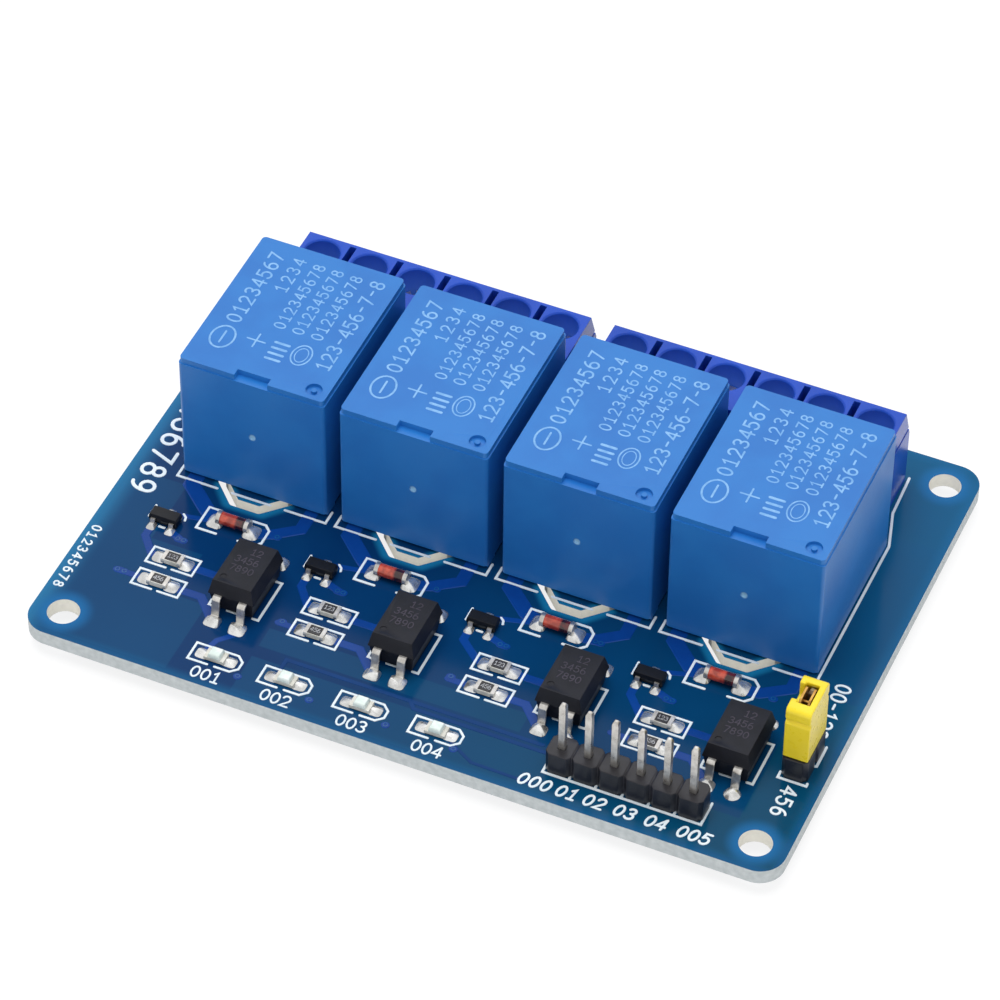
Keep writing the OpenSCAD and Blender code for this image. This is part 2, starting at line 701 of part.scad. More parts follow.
// Plastic strip for n pins in a row along X, the first pin on the Z axis
module header_strip(n) {
  a = pin_pitch / 2;
  b = strip_bevel;
  cell = [[-a, b - a], [b - a, -a], [a - b, -a], [a, b - a],
    [a, a - b], [a - b, a], [b - a, a], [-a, a - b]];
  difference() {
    linear_extrude(strip_h) for (k = [0:n - 1]) translate([k * pin_pitch, 0]) polygon(cell);
    for (k = [0:n - 1]) translate([k * pin_pitch, 0, -eps]) block(pin_side, pin_side, strip_h + 2 * eps);
    for (k = [1:n - 1]) translate([(k - 0.5) * pin_pitch, 0, strip_h])
      along_y(pin_pitch) polygon([[-strip_groove, eps], [0, -strip_groove], [strip_groove, eps]]);
  }
}

module header_pins(n) {
  for (k = [0:n - 1]) translate([k * pin_pitch, 0, 0])
    square_pin(pin_side, -board_t - pin_tail, pin_top, pin_tip);
}

module input_header_strip() {
  color([0.12, 0.12, 0.13]) on_board(input_x, input_y) header_strip(input_pins);
}
module input_header_pins() {
  color([0.75, 0.73, 0.68]) on_board(input_x, input_y) header_pins(input_pins);
}
module jumper_header_strip() {
  color([0.12, 0.12, 0.13]) on_board(jumper_x, jumper_y) rotate(90) header_strip(2);
}
module jumper_header_pins() {
  color([0.75, 0.73, 0.68]) on_board(jumper_x, jumper_y) rotate(90) header_pins(2);
}

// Jumper cap ------------------------------------------------------------------------

cap_pocket_w = pin_side + 2 * spring_t + 2 * play;
cap_pocket_l = pin_pitch + pin_side + 5 * play;
cap_pocket_h = pin_top - cap_z + play;
cap_top = cap_z + cap_h;
cap_head_h = 1.6;         // from the finger groove to the cap's top
cap_waist_z = cap_top - cap_head_h;
cap_waist_h = 0.6;        // height of the finger groove
cap_window_y = 0.1;       // the window's middle, towards the second pin

// Side view of the cap, y across: box with two rounded upper edges and a finger groove
module cap_side_view() {
  h = cap_l / 2;
  r = cap_edge_r;
  difference() {
    union() {
      translate([-h, cap_z]) square([cap_l, cap_h - r]);
      translate([r - h, cap_z]) square([cap_l - 2 * r, cap_h]);
      for (s = [-1, 1]) translate([s * (h - r), cap_top - r]) circle(r);
    }
    for (s = [-1, 1]) translate([s * h, cap_waist_z])
      polygon([[0, -cap_waist_h / 2], [-s * cap_groove, 0], [0, cap_waist_h / 2],
        [s, cap_waist_h / 2], [s, -cap_waist_h / 2]]);
  }
}

module jumper_cap() {
  opening_l = cap_window_l - 0.6;   // the window is open to one long side over this length
  color([0.93, 0.83, 0.2]) on_board(jumper_x, jumper_mid) difference() {
    along_x(cap_w) cap_side_view();
    translate([0, 0, cap_z - eps]) block(cap_pocket_w, cap_pocket_l, cap_pocket_h + eps);
    translate([0, cap_window_y, cap_z]) block(cap_pocket_w, cap_window_l, cap_h + eps);
    translate([-cap_w, cap_window_y - opening_l / 2, cap_waist_z]) cube([cap_w, opening_l, cap_h]);
  }
}

// Sprung sheet that bridges the two pins: two leaves, each with a tab that rises into the cap's
// window, and the web between the pins
module jumper_contact() {
  leaf_l = cap_pocket_l - 2 * play;
  leaf_x = (pin_side + spring_t) / 2;
  leaf_h = cap_pocket_h - 1;
  tab_h = cap_h - 0.35;             // the tabs stop a little below the cap's top
  tab = cap_window_l / 2 - play;
  corner = 0.45;
  color([0.72, 0.52, 0.25]) on_board(jumper_x, jumper_mid, cap_z + 3 * play) {
    linear_extrude(leaf_h) for (s = [-1, 1]) translate([s * leaf_x, 0])
      square([spring_t, leaf_l], center = true);
    for (s = [-1, 1]) translate([s * leaf_x, cap_window_y, 0]) along_x(spring_t)
      polygon([[-tab, leaf_h - eps], [tab, leaf_h - eps], [tab, tab_h - corner],
        [tab - corner, tab_h], [corner - tab, tab_h], [-tab, tab_h - corner]]);
    linear_extrude(tab_h - 2 * corner) square([2 * leaf_x, spring_t], center = true);
  }
}

// Solder ----------------------------------------------------------------------------

// Concave cone round a pin under the board, with the plug in the drilled hole
module solder_cone(j) {
  r = pin_hole_r(j) + solder_ring;
  neck = norm([j[2], j[3]]) / 2 + 0.1;
  steps = 4;
  plug_r = pin_hole_r(j) - slide;
  plug_top = board_t - 0.1;
  flank = [for (k = [0:steps]) let (u = k / steps)
    [neck + (r - neck) * (1 - u) * (1 - u), -solder_cone_h * u]];
  difference() {
    rotate_extrude($fn = 24)
      polygon(concat([[0, plug_top], [plug_r, plug_top], [plug_r, 0]], flank, [[0, -solder_cone_h]]));
    translate([0, 0, -2 * solder_cone_h]) block(j[2], j[3], 2 * solder_cone_h + board_t);
  }
}

module solder_joints_bottom() {
  color([0.75, 0.75, 0.74]) for (j = concat(relay_joints(), terminal_joints(), header_joints()))
    on_board(j[0], j[1], -board_t) solder_cone(j);
}

// A mound of solder over a pad w by l: the flanks rise steeply, then lean in to its top
module mound(w, l, h) {
  skin = 0.1 * h;
  function side(s) = [[s, 0], [s, skin], [0.8 * s, 0.5 * h], [0.4 * s, h],
    [-0.4 * s, h], [-0.8 * s, 0.5 * h], [-s, skin], [-s, 0]];
  intersection() {
    along_y(l) polygon(side(w / 2));
    along_x(w) polygon(side(l / 2));
  }
}

// Solder that climbs the end of a chip: a film under it and a rounded wedge beside it
module chip_solder(w, climb) {
  out = chip_pad_l;
  top = pad_t + climb;
  lean = 0.12 * w;
  intersection() {
    along_y(w) polygon([[-chip_end_l, 0], [out, 0], [out, 0.3 * pad_t], [0.8 * out, 0.6 * top],
      [0.4 * out, 0.85 * top], [0, top], [0, pad_t], [-chip_end_l, pad_t]]);
    along_x(3 * out) polygon([[-w / 2, 0], [w / 2, 0], [w / 2, pad_t], [w / 2 - lean, top],
      [lean - w / 2, top], [-w / 2, pad_t]]);
  }
}

module chip_solder_pair(w, climb) {
  for (s = [0, 180]) rotate(s) translate([chip_l / 2, 0, 0]) chip_solder(w, climb);
}

// Mound under a diode's cap that climbs its end and its sides
module diode_solder() {
  for (s = [-1, 1]) difference() {
    translate([s * (diode_l / 2 + diode_pad_out), 0, 0]) mound(diode_pad_l, diode_pad_w, 0.5 * diode_d);
    diode_bar(-diode_l / 2 - slide, diode_l / 2 + slide, diode_d + 2 * slide);
  }
}

// Solder over an optocoupler's foot, on a square or a round pad
module opto_solder(square_pad) {
  r = opto_pad / 2;
  h = opto_mound_h;
  if (square_pad) mound(opto_pad, 0.9 * opto_pad, h);
  else rotate_extrude() polygon([[0, 0], [r, 0], [r, 0.12 * h], [0.8 * r, 0.3 * h], [0.65 * r, 0.75 * h],
    [0.4 * r, 0.95 * h], [0, h]]);
}

// All four pads of an optocoupler, hollowed where its leads stand in them
module opto_solder_set() {
  y = opto_lead_span / 2 - opto_foot / 2 + 0.1;
  difference() {
    for (s = [0, 180]) rotate(s) {
      translate([-opto_lead_centres / 2, -y, 0]) opto_solder(s == 0);
      translate([opto_lead_centres / 2, -y, 0]) opto_solder(false);
    }
    translate([0, 0, opto_standoff]) for (s = [0, 180]) rotate(s) opto_lead_pair();
  }
}

module transistor_solder() {
  y = transistor_lead_span / 2 - 0.15;
  difference() {
    for (p = [[-transistor_lead_pitch / 2, -y], [transistor_lead_pitch / 2, -y], [0, y]])
      translate(p) mound(2 * transistor_lead_w, 2.4 * transistor_lead_w, 0.35 * transistor_h);
    transistor_lead_set();
    translate([0, 0, pad_t]) block(transistor_w, transistor_l, transistor_h);
  }
}

module solder_joints_top() {
  color([0.8, 0.8, 0.79]) for (i = [0:channels - 1]) {
    for (row = [0, 1]) on_board(resistor_x(i), resistor_y(row))
      chip_solder_pair(chip_w + 2 * chip_pad_side, 0.6 * resistor_h);
    on_board(lamp_x[i], lamp_y) chip_solder_pair(chip_w, 0.6 * lamp_base_t);
    on_board(diode_x(i), diode_y(i)) diode_solder();
    on_board(opto_x(i), opto_y) opto_solder_set();
    on_board(transistor_x(i), transistor_y) transistor_solder();
  }
}

// Nodes -----------------------------------------------------------------------------

function shown(name) = node == "all" || node == name;
sides = ["left", "right"];

if (shown("circuit_board")) circuit_board();
for (i = [0:channels - 1]) {
  if (shown(str("relay_cover_", i + 1))) relay_cover(i);
  if (shown(str("relay_base_", i + 1))) relay_base(i);
  if (shown(str("relay_pins_", i + 1))) relay_pins(i);
  if (shown(str("optocoupler_body_", i + 1))) optocoupler_body(i);
  if (shown(str("optocoupler_leads_", i + 1))) optocoupler_leads(i);
  if (shown(str("transistor_body_", i + 1))) transistor_body(i);
  if (shown(str("transistor_leads_", i + 1))) transistor_leads(i);
  if (shown(str("diode_glass_", i + 1))) diode_glass(i);
  if (shown(str("lamp_lens_", i + 1))) lamp_lens(i);
}
for (s = [0, 1]) {
  if (shown(str("terminal_housing_", sides[s]))) terminal_housing(s);
  if (shown(str("terminal_screws_", sides[s]))) terminal_screws(s);
  if (shown(str("terminal_cages_", sides[s]))) terminal_cages(s);
  if (shown(str("wire_guards_", sides[s]))) wire_guards(s);
}
if (shown("diode_caps")) diode_caps();
if (shown("lamp_bases")) lamp_bases();
if (shown("resistor_bodies")) resistor_bodies();
if (shown("resistor_caps")) resistor_caps();
if (shown("input_header_strip")) input_header_strip();
if (shown("input_header_pins")) input_header_pins();
if (shown("jumper_header_strip")) jumper_header_strip();
if (shown("jumper_header_pins")) jumper_header_pins();
if (shown("jumper_cap")) jumper_cap();
if (shown("jumper_contact")) jumper_contact();
if (shown("solder_joints_top")) solder_joints_top();
if (shown("solder_joints_bottom")) solder_joints_bottom();
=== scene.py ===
"""Looks of a four-channel relay module board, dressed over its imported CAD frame.

New pieces are worked out in millimetres from the front left corner of the board's top face:
x to the right, y back towards the screw terminals, z up. to_frame() turns them into the
frame's metres, so every place follows from the frame's own boxes.
"""
import functools
import itertools
import math

import bmesh
import bpy
import numpy as np
from mathutils import Matrix, Vector


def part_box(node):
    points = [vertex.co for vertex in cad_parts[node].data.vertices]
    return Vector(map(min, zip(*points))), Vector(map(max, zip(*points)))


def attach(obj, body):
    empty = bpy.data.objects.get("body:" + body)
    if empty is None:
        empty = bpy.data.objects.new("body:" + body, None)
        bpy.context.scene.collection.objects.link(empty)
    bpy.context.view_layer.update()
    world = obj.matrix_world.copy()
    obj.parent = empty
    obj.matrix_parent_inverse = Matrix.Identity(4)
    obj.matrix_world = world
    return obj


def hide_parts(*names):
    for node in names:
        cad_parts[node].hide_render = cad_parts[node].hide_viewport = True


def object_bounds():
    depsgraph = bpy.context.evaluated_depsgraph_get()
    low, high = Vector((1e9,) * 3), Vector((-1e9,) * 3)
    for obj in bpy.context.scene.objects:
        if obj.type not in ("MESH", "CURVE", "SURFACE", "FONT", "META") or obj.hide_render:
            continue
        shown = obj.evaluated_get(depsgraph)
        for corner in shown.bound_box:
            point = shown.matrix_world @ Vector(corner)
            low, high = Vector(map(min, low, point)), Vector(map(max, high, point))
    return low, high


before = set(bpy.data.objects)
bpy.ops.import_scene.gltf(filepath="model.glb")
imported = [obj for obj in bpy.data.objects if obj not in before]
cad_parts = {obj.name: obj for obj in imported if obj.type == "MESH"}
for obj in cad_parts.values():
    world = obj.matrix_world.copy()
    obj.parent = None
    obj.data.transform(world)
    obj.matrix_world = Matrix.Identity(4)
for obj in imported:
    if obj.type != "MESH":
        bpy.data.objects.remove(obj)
cad_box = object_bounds()

# --- Places taken from the frame ---------------------------------------------------

MM = 0.001
CHANNELS = range(1, 5)
BOARD_LOW, BOARD_HIGH = (np.array(c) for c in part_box("circuit_board"))
CORNER = np.array([BOARD_LOW[0], BOARD_LOW[1], BOARD_HIGH[2]])
BOARD_L, BOARD_W, BOARD_T = (BOARD_HIGH - BOARD_LOW) / MM


def to_frame(points):
    """Millimetres from the board's corner to metres in the frame."""
    return CORNER + np.asarray(points, float) * MM


def node_box(node):
    """Lowest and highest corner of a CAD node, in millimetres from the board's corner."""
    low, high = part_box(node)
    return (np.array(low) - CORNER) / MM, (np.array(high) - CORNER) / MM


def middle(node):
    """Middle of a CAD node's box, in millimetres from the board's corner."""
    low, high = node_box(node)
    return (low + high) / 2


def solid_boxes(node, gap=0.05):
    """Boxes of a node's separate solids. Its triangles are sorted by their lowest x and split
    wherever the next one starts beyond the furthest reach of all before it, and each share is
    then treated so along y, x and y again."""
    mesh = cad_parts[node].data
    flat = np.empty(len(mesh.vertices) * 3)
    mesh.vertices.foreach_get("co", flat)
    corner = np.empty(len(mesh.loops), int)
    mesh.loops.foreach_get("vertex_index", corner)
    triangles = ((flat.reshape(-1, 3) - CORNER) / MM)[corner].reshape(-1, 3, 3)
    groups = [triangles]
    for axis in (0, 1, 0, 1):
        parts = []
        for group in groups:
            group = group[np.argsort(group[:, :, axis].min(axis=1))]
            reach = np.maximum.accumulate(group[:, :, axis].max(axis=1))
            start = group[:, :, axis].min(axis=1)
            parts += np.split(group, np.nonzero(start[1:] > reach[:-1] + gap)[0] + 1)
        groups = parts
    return [(g.min(axis=(0, 1)), g.max(axis=(0, 1))) for g in groups]


RELAYS = [middle(f"relay_cover_{k}") for k in CHANNELS]
OPTOS = [middle(f"optocoupler_body_{k}") for k in CHANNELS]
TRANSISTORS = [middle(f"transistor_body_{k}") for k in CHANNELS]
DIODES = [middle(f"diode_glass_{k}") for k in CHANNELS]
LAMPS = [middle(f"lamp_lens_{k}") for k in CHANNELS]
RESISTORS = sorted(((low + high) / 2).tolist() for low, high in solid_boxes("resistor_bodies"))
RELAY_FRONT = node_box("relay_cover_1")[0][1]
RELAY_PITCH = RELAYS[1][0] - RELAYS[0][0]

# In millimetres: the corner holes from the board's edges, and each milled slot by its straight
# base, from its relay's front, half that base's length and how far out its two arms end
HOLE_INSET = 3.1
SLOT_Y = -1.7
SLOT_HALF = (1.6, 3.15)

# How high masked copper, white ink and the relays' print stand, in millimetres
COPPER_T, INK_T, PRINT_T = 0.035, 0.05, 0.012

# Corners this close together are one, in metres: of a drawn piece and of a CAD mesh
DRAWN_WELD, CAD_WELD = 1e-7, 2e-6

# --- Mesh surfaces -----------------------------------------------------------------


def grid_faces(rows, cols, wrap_rows=False):
    """Quads of a rows x cols grid of points, closed round the columns and, if asked, the rows."""
    r, c = np.meshgrid(np.arange(rows if wrap_rows else rows - 1), np.arange(cols), indexing="ij")
    r, c = r.ravel(), c.ravel()
    r1, c1 = (r + 1) % rows, (c + 1) % cols
    return np.stack([r * cols + c, r * cols + c1, r1 * cols + c1, r1 * cols + c], axis=1)


def turned_out(points, quads):
    """The quads of a closed part, turned so that they face outwards: split into triangles a b c,
    the sum of a . (b x c), six times the signed volume, is then positive."""
    a, b, c, d = (points[quads[:, k]] for k in range(4))
    volume = np.sum(a * np.cross(b, c)) + np.sum(a * np.cross(c, d))
    return quads if volume > 0 else quads[:, ::-1]


def add_piece(name, parts, material, smooth=False):
    """One object from parts of (points in millimetres, quads), riding on the board's body."""
    points, faces, start = [], [], 0
    for p, f in parts:
        p = np.asarray(p, float).reshape(-1, 3)
        points.append(p)
        faces.append(turned_out(p, np.asarray(f)) + start)
        start += len(p)
    mesh = bpy.data.meshes.new(name)
    mesh.from_pydata(to_frame(np.concatenate(points)).tolist(), [], np.concatenate(faces).tolist())
    work = bmesh.new()
    work.from_mesh(mesh)
    bmesh.ops.remove_doubles(work, verts=work.verts, dist=DRAWN_WELD)
    work.to_mesh(mesh)
    work.free()
    mesh.polygons.foreach_set("use_smooth", [smooth] * len(mesh.polygons))
    mesh.materials.append(material)
    piece = bpy.data.objects.new(name, mesh)
    bpy.context.scene.collection.objects.link(piece)
    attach(piece, "root")
    return piece


SHARPEST_MITRE = 0.5   # cosine of half the turn beyond which a corner's mitre grows no longer


def tangents(path, closed):
    """Unit direction of each leg and, at each point, the sideways vector that mitres the corner."""
    legs = np.roll(path, -1, axis=0) - path
    if not closed:
        legs[-1] = legs[-2]
    legs /= np.linalg.norm(legs, axis=1, keepdims=True)
    before = np.roll(legs, 1, axis=0)
    if not closed:
        before[0] = legs[0]
    side = legs + before
    side = np.stack([-side[:, 1], side[:, 0]], axis=1)
    side /= np.linalg.norm(side, axis=1, keepdims=True)
    normal = np.stack([-legs[:, 1], legs[:, 0]], axis=1)
    stretch = 1 / np.clip(np.sum(side * normal, axis=1), SHARPEST_MITRE, 1)
    return legs, side * stretch[:, None]


# Each line is a hair higher than the one before, so that crossing lines share no face. The
# heights start again after LAYERS lines. FLAT_TOP is the share of a line's width that is flat.
LAYER = itertools.count()
LAYER_STEP, LAYERS = 0.0002, 61
FLAT_TOP = 0.86


def line(path, width, z, height, closed=False, round_ends=True):
    """A flat raised line: a low trapezium profile carried along the path. Round ends come from
    stations past each end at r sin(a), where the half width is r cos(a); square ends stop dead."""
    path = np.asarray(path, float)
    height = height + LAYER_STEP * (next(LAYER) % LAYERS)
    legs, side = tangents(path, closed)
    half = np.full(len(path), width / 2)
    if not closed:
        r = width / 2
        a = np.radians([90, 60, 30]) if round_ends else np.radians([90])
        reach = r * np.sin(a) if round_ends else np.zeros(1)
        head = path[0] - legs[0] * reach[:, None]
        tail = path[-1] + legs[-1] * reach[::-1, None]
        path = np.concatenate([head, path, tail])
        side = np.concatenate([np.repeat(side[:1], len(a), 0), side, np.repeat(side[-1:], len(a), 0)])
        half = np.concatenate([r * np.cos(a), half, r * np.cos(a)[::-1]])
    across = np.array([-1, -FLAT_TOP, FLAT_TOP, 1])
    up = np.array([0, 1, 1, 0]) * height
    xy = path[:, None, :] + side[:, None, :] * (half[:, None] * across)[:, :, None]
    z_all = np.broadcast_to(z + up, xy.shape[:2])
    points = np.concatenate([xy, z_all[:, :, None]], axis=2)
    return points, grid_faces(len(path), len(across), wrap_rows=closed)


def arc(cx, cy, rx, ry, start, end, steps=14):
    """Points of an ellipse's arc from one angle to another, in degrees."""
    a = np.radians(np.linspace(start, end, steps))
    return np.stack([cx + rx * np.cos(a), cy + ry * np.sin(a)], axis=1)


def slab(x0, y0, x1, y1, z, height):
    """A low rectangular pad as a wide square-ended line."""
    y = (y0 + y1) / 2
    return line([(x0, y), (x1, y)], y1 - y0, z, height, round_ends=False)


def mound(low, high, lean, square, foot=0.04):
    """A mound of solder over a pad: rings with the outline |x/a|^n + |y/b|^n = 1, where n is 2 on
    a round pad and more on a square one. A ring shrunk to the share r of the pad lies at the
    height foot + h (1 - r^2), and its middle has moved by (1 - r) lean towards the part."""
    steps, rings = 32, 9
    a = np.linspace(0, 2 * np.pi, steps, endpoint=False)
    c, s = np.cos(a), np.sin(a)
    reach = (np.abs(c) ** square + np.abs(s) ** square) ** (-1 / square)
    share = np.concatenate([[0, 1], np.cos(np.linspace(0, np.pi / 2, rings))])
    up = np.concatenate([[0, 0], foot + (high[2] - foot) * (1 - share[2:] ** 2)])
    centre, half = (low + high) / 2, (high - low) / 2
    drift = np.where(np.arange(len(share)) < 2, 0, 1 - share)
    x = centre[0] + drift[:, None] * lean[0] + half[0] * share[:, None] * reach * c
    y = centre[1] + drift[:, None] * lean[1] + half[1] * share[:, None] * reach * s
    points = np.stack([x, y, np.broadcast_to(up[:, None], x.shape)], axis=2)
    return points, grid_faces(len(share), steps)


# --- Numbers drawn with a pen ------------------------------------------------------

# Strokes of each digit, as points and whether they close, in a cell 1 high and 0.6 wide
DIGITS = {
    "0": [(arc(0.3, 0.5, 0.29, 0.5, 90, 435, 18), True)],
    "1": [([(0.1, 0.8), (0.32, 1.0), (0.32, 0.0)], False), ([(0.08, 0.0), (0.56, 0.0)], False)],
    "2": [(np.concatenate([arc(0.3, 0.71, 0.28, 0.29, 165, -35), [(0.02, 0.0), (0.6, 0.0)]]), False)],
    "3": [(arc(0.28, 0.76, 0.26, 0.24, 150, -90), False), (arc(0.28, 0.26, 0.3, 0.26, 90, -150), False)],
    "4": [([(0.44, 1.0), (0.0, 0.3), (0.62, 0.3)], False), ([(0.46, 0.0), (0.46, 1.0)], False)],
    "5": [([(0.54, 1.0), (0.1, 1.0), (0.07, 0.6)], False),
          (arc(0.27, 0.33, 0.31, 0.33, 135, -150), False)],
    "6": [(arc(0.42, 0.4, 0.4, 0.6, 95, 185), False), (arc(0.3, 0.3, 0.28, 0.3, 90, 430, 16), True)],
    "7": [([(0.0, 1.0), (0.58, 1.0), (0.2, 0.0)], False)],
    "8": [(arc(0.3, 0.76, 0.24, 0.24, 90, 430), True), (arc(0.3, 0.27, 0.29, 0.27, 90, 430), True)],
    "9": [(arc(0.18, 0.6, 0.4, 0.6, 5, -85), False), (arc(0.3, 0.7, 0.28, 0.3, 90, 430, 16), True)],
    "-": [([(0.1, 0.5), (0.5, 0.5)], False)],
}


def number(text, start, height, z, pen, turn=0, pitch=0.85, thick=INK_T, slant=0.0):
    """Parts of a row of digits: start is the first one's lower left corner and turn the row's
    anticlockwise angle in degrees. The line's width pen, the digit spacing pitch and slant, how
    far a digit's top leans over, are in digit heights."""
    c, s = math.cos(math.radians(turn)), math.sin(math.radians(turn))
    spin = np.array([[c, s], [-s, c]])
    parts = []
    for k, mark in enumerate(text):
        for path, closed in DIGITS[mark]:
            path = np.asarray(path, float)
            path = path + np.stack([k * pitch + slant * path[:, 1], np.zeros(len(path))], axis=1)
            xy = path * height @ spin + start
            parts.append(line(xy, pen * height, z, thick, closed))
    return parts


# --- Materials ---------------------------------------------------------------------


def srgb(hex_code):
    """Linear colour of a six-digit hex code."""
    c = np.array([int(hex_code[k:k + 2], 16) for k in (0, 2, 4)]) / 255
    return (*np.where(c <= 0.04045, c / 12.92, ((c + 0.055) / 1.055) ** 2.4), 1.0)


def make_group(name, inputs, outputs):
    """An empty node group with float inputs {name: default} and outputs {name: socket type}."""
    tree = bpy.data.node_groups.new(name, "ShaderNodeTree")
    for key, value in inputs.items():
        socket = tree.interface.new_socket(key, in_out="INPUT", socket_type="NodeSocketFloat")
        socket.default_value = value
    for key, kind in outputs.items():
        tree.interface.new_socket(key, in_out="OUTPUT", socket_type=kind)
    return tree, tree.nodes.new("NodeGroupInput"), tree.nodes.new("NodeGroupOutput")


def build_grain():
    """Fine grain and broad mottle on Object coordinates, in grains to the millimetre."""
    tree, given, out = make_group("moulded_grain", {"Grain": 6.0, "Mottle": 0.3},
                                  {"Height": "NodeSocketFloat", "Cloud": "NodeSocketFloat"})
    coord = tree.nodes.new("ShaderNodeTexCoord")
    for key, socket, detail in (("Grain", "Height", 3.0), ("Mottle", "Cloud", 5.0)):
        per_metre = tree.nodes.new("ShaderNodeMath")
        per_metre.operation = "MULTIPLY"
        per_metre.inputs[1].default_value = 1 / MM
        noise = tree.nodes.new("ShaderNodeTexNoise")
        noise.inputs["Detail"].default_value = detail
        tree.links.new(given.outputs[key], per_metre.inputs[0])
        tree.links.new(coord.outputs["Object"], noise.inputs["Vector"])
        tree.links.new(per_metre.outputs[0], noise.inputs["Scale"])
        tree.links.new(noise.outputs["Fac"], out.inputs[socket])
    return tree


GRAIN = build_grain()


class Surface:
    """A material under construction: its Principled shader with plain values, and helpers that
    add the moving parts: colour between two tones, roughness spread and bump."""

    def __init__(self, name, roughness, **plain):
        self.material = bpy.data.materials.new(name)
        self.material.use_nodes = True
        self.nodes = self.material.node_tree.nodes
        self.links = self.material.node_tree.links
        self.shader = self.nodes["Principled BSDF"]
        self.shader.inputs["Roughness"].default_value = roughness
        for key, value in plain.items():
            self.shader.inputs[key.replace("_", " ").title().replace("Ior", "IOR")].default_value = value
        self.coord = self.nodes.new("ShaderNodeTexCoord")

    def math(self, operation, a, b=0.0, clamp=False):
        node = self.nodes.new("ShaderNodeMath")
        node.operation = operation
        node.use_clamp = clamp
        for socket, value in zip(node.inputs, (a, b)):
            if isinstance(value, (int, float)):
                socket.default_value = value
            else:
                self.links.new(value, socket)
        return node.outputs[0]

    def axes(self):
        split = self.nodes.new("ShaderNodeSeparateXYZ")
        self.links.new(self.coord.outputs["Object"], split.inputs[0])
        return split.outputs

    def point(self, x, y):
        node = self.nodes.new("ShaderNodeCombineXYZ")
        self.links.new(x, node.inputs[0])
        self.links.new(y, node.inputs[1])
        return node.outputs[0]

    def vector(self, operation, a, b=None, scale=None):
        node = self.nodes.new("ShaderNodeVectorMath")
        node.operation = operation
        for socket, value in zip(node.inputs, (a, b)):
            if isinstance(value, tuple):
                socket.default_value = value
            elif value is not None:
                self.links.new(value, socket)
        if scale is not None:
            self.links.new(scale, node.inputs["Scale"])
        return node.outputs["Value" if operation in ("DOT_PRODUCT", "LENGTH") else "Vector"]

    def length(self, a):
        return self.vector("LENGTH", a)

    def wrap(self, value, half):
        """Value folded into -half to half by whole steps of twice half."""
        node = self.nodes.new("ShaderNodeMath")
        node.operation = "WRAP"
        self.links.new(value, node.inputs[0])
        node.inputs[1].default_value = half
        node.inputs[2].default_value = -half
        return node.outputs[0]

    def segment_distance(self, place, a, b):
        """Distance from place to the straight line from a to b: the nearest point on it is
        a + t (b - a), where t is the share of (b - a) that (place - a) covers, held to 0..1."""
        a, b = np.array([*a, 0.0]), np.array([*b, 0.0])
        leg = b - a
        off = self.vector("SUBTRACT", place, tuple(a.tolist()))
        share = self.vector("DOT_PRODUCT", off, tuple((leg / (leg @ leg)).tolist()))
        share = self.math("ADD", share, 0.0, clamp=True)
        foot = self.vector("SCALE", tuple(leg.tolist()), scale=share)
        return self.length(self.vector("SUBTRACT", off, foot))

    def box_distance(self, x, y, box):
        """Distance outside a rectangle, less than zero inside it, of a point (x, y)."""
        x0, y0, x1, y1 = box
        off = [self.math("ABSOLUTE", self.math("SUBTRACT", at, (low + high) / 2))
               for at, low, high in ((x, x0, x1), (y, y0, y1))]
        across = self.math("SUBTRACT", off[0], (x1 - x0) / 2)
        return self.math("MAXIMUM", across, self.math("SUBTRACT", off[1], (y1 - y0) / 2))

    def ramp(self, value, low, high):
        """0 at low and past it, 1 at high and past it, smooth between. Either may be larger."""
        node = self.nodes.new("ShaderNodeMapRange")
        node.interpolation_type = "SMOOTHSTEP"
        node.inputs["From Min"].default_value = low
        node.inputs["From Max"].default_value = high
        self.links.new(value, node.inputs["Value"])
        return node.outputs["Result"]

    def fade(self, value, low, high):
        """The same with low and high in millimetres."""
        return self.ramp(value, low * MM, high * MM)

    def fold(self, operation, values):
        """The least or the greatest of several values."""
        return functools.reduce(lambda a, b: self.math(operation, a, b), values)

    def mix(self, factor, a, b):
        node = self.nodes.new("ShaderNodeMix")
        node.data_type = "RGBA"
        self.links.new(factor, node.inputs["Factor"])
        for key, value in (("A", a), ("B", b)):
            socket = [s for s in node.inputs if s.name == key and s.type == "RGBA"][0]
            if isinstance(value, tuple):
                socket.default_value = value
            else:
                self.links.new(value, socket)
        return [s for s in node.outputs if s.type == "RGBA"][0]

    def grain(self, grain, mottle):
        node = self.nodes.new("ShaderNodeGroup")
        node.node_tree = GRAIN
        node.inputs["Grain"].default_value = grain
        node.inputs["Mottle"].default_value = mottle
        return node.outputs["Height"], node.outputs["Cloud"]

    def bump(self, height, strength, distance=0.02):
        node = self.nodes.new("ShaderNodeBump")
        node.inputs["Strength"].default_value = strength
        node.inputs["Distance"].default_value = distance * MM
        self.links.new(height, node.inputs["Height"])
        self.links.new(node.outputs["Normal"], self.shader.inputs["Normal"])

    def colour(self, value):
        self.links.new(value, self.shader.inputs["Base Color"])

    def glow(self, factor, tone):
        """Light given off by the surface, from none to tone as factor goes from 0 to 1."""
        self.links.new(self.mix(factor, (0, 0, 0, 1), srgb(tone)), self.shader.inputs["Emission Color"])

    def from_relay(self, x):
        """Distance across from the middle of the nearest relay, less than zero to its left."""
        first = float(to_frame(RELAYS[0])[0])
        return self.wrap(self.math("SUBTRACT", x, first), RELAY_PITCH * MM / 2)

    def rough(self, factor, low, high):
        """Roughness from low to high as factor goes from 0 to 1."""
        node = self.nodes.new("ShaderNodeMapRange")
        node.inputs["To Min"].default_value = low
        node.inputs["To Max"].default_value = high
        self.links.new(factor, node.inputs["Value"])
        self.links.new(node.outputs["Result"], self.shader.inputs["Roughness"])


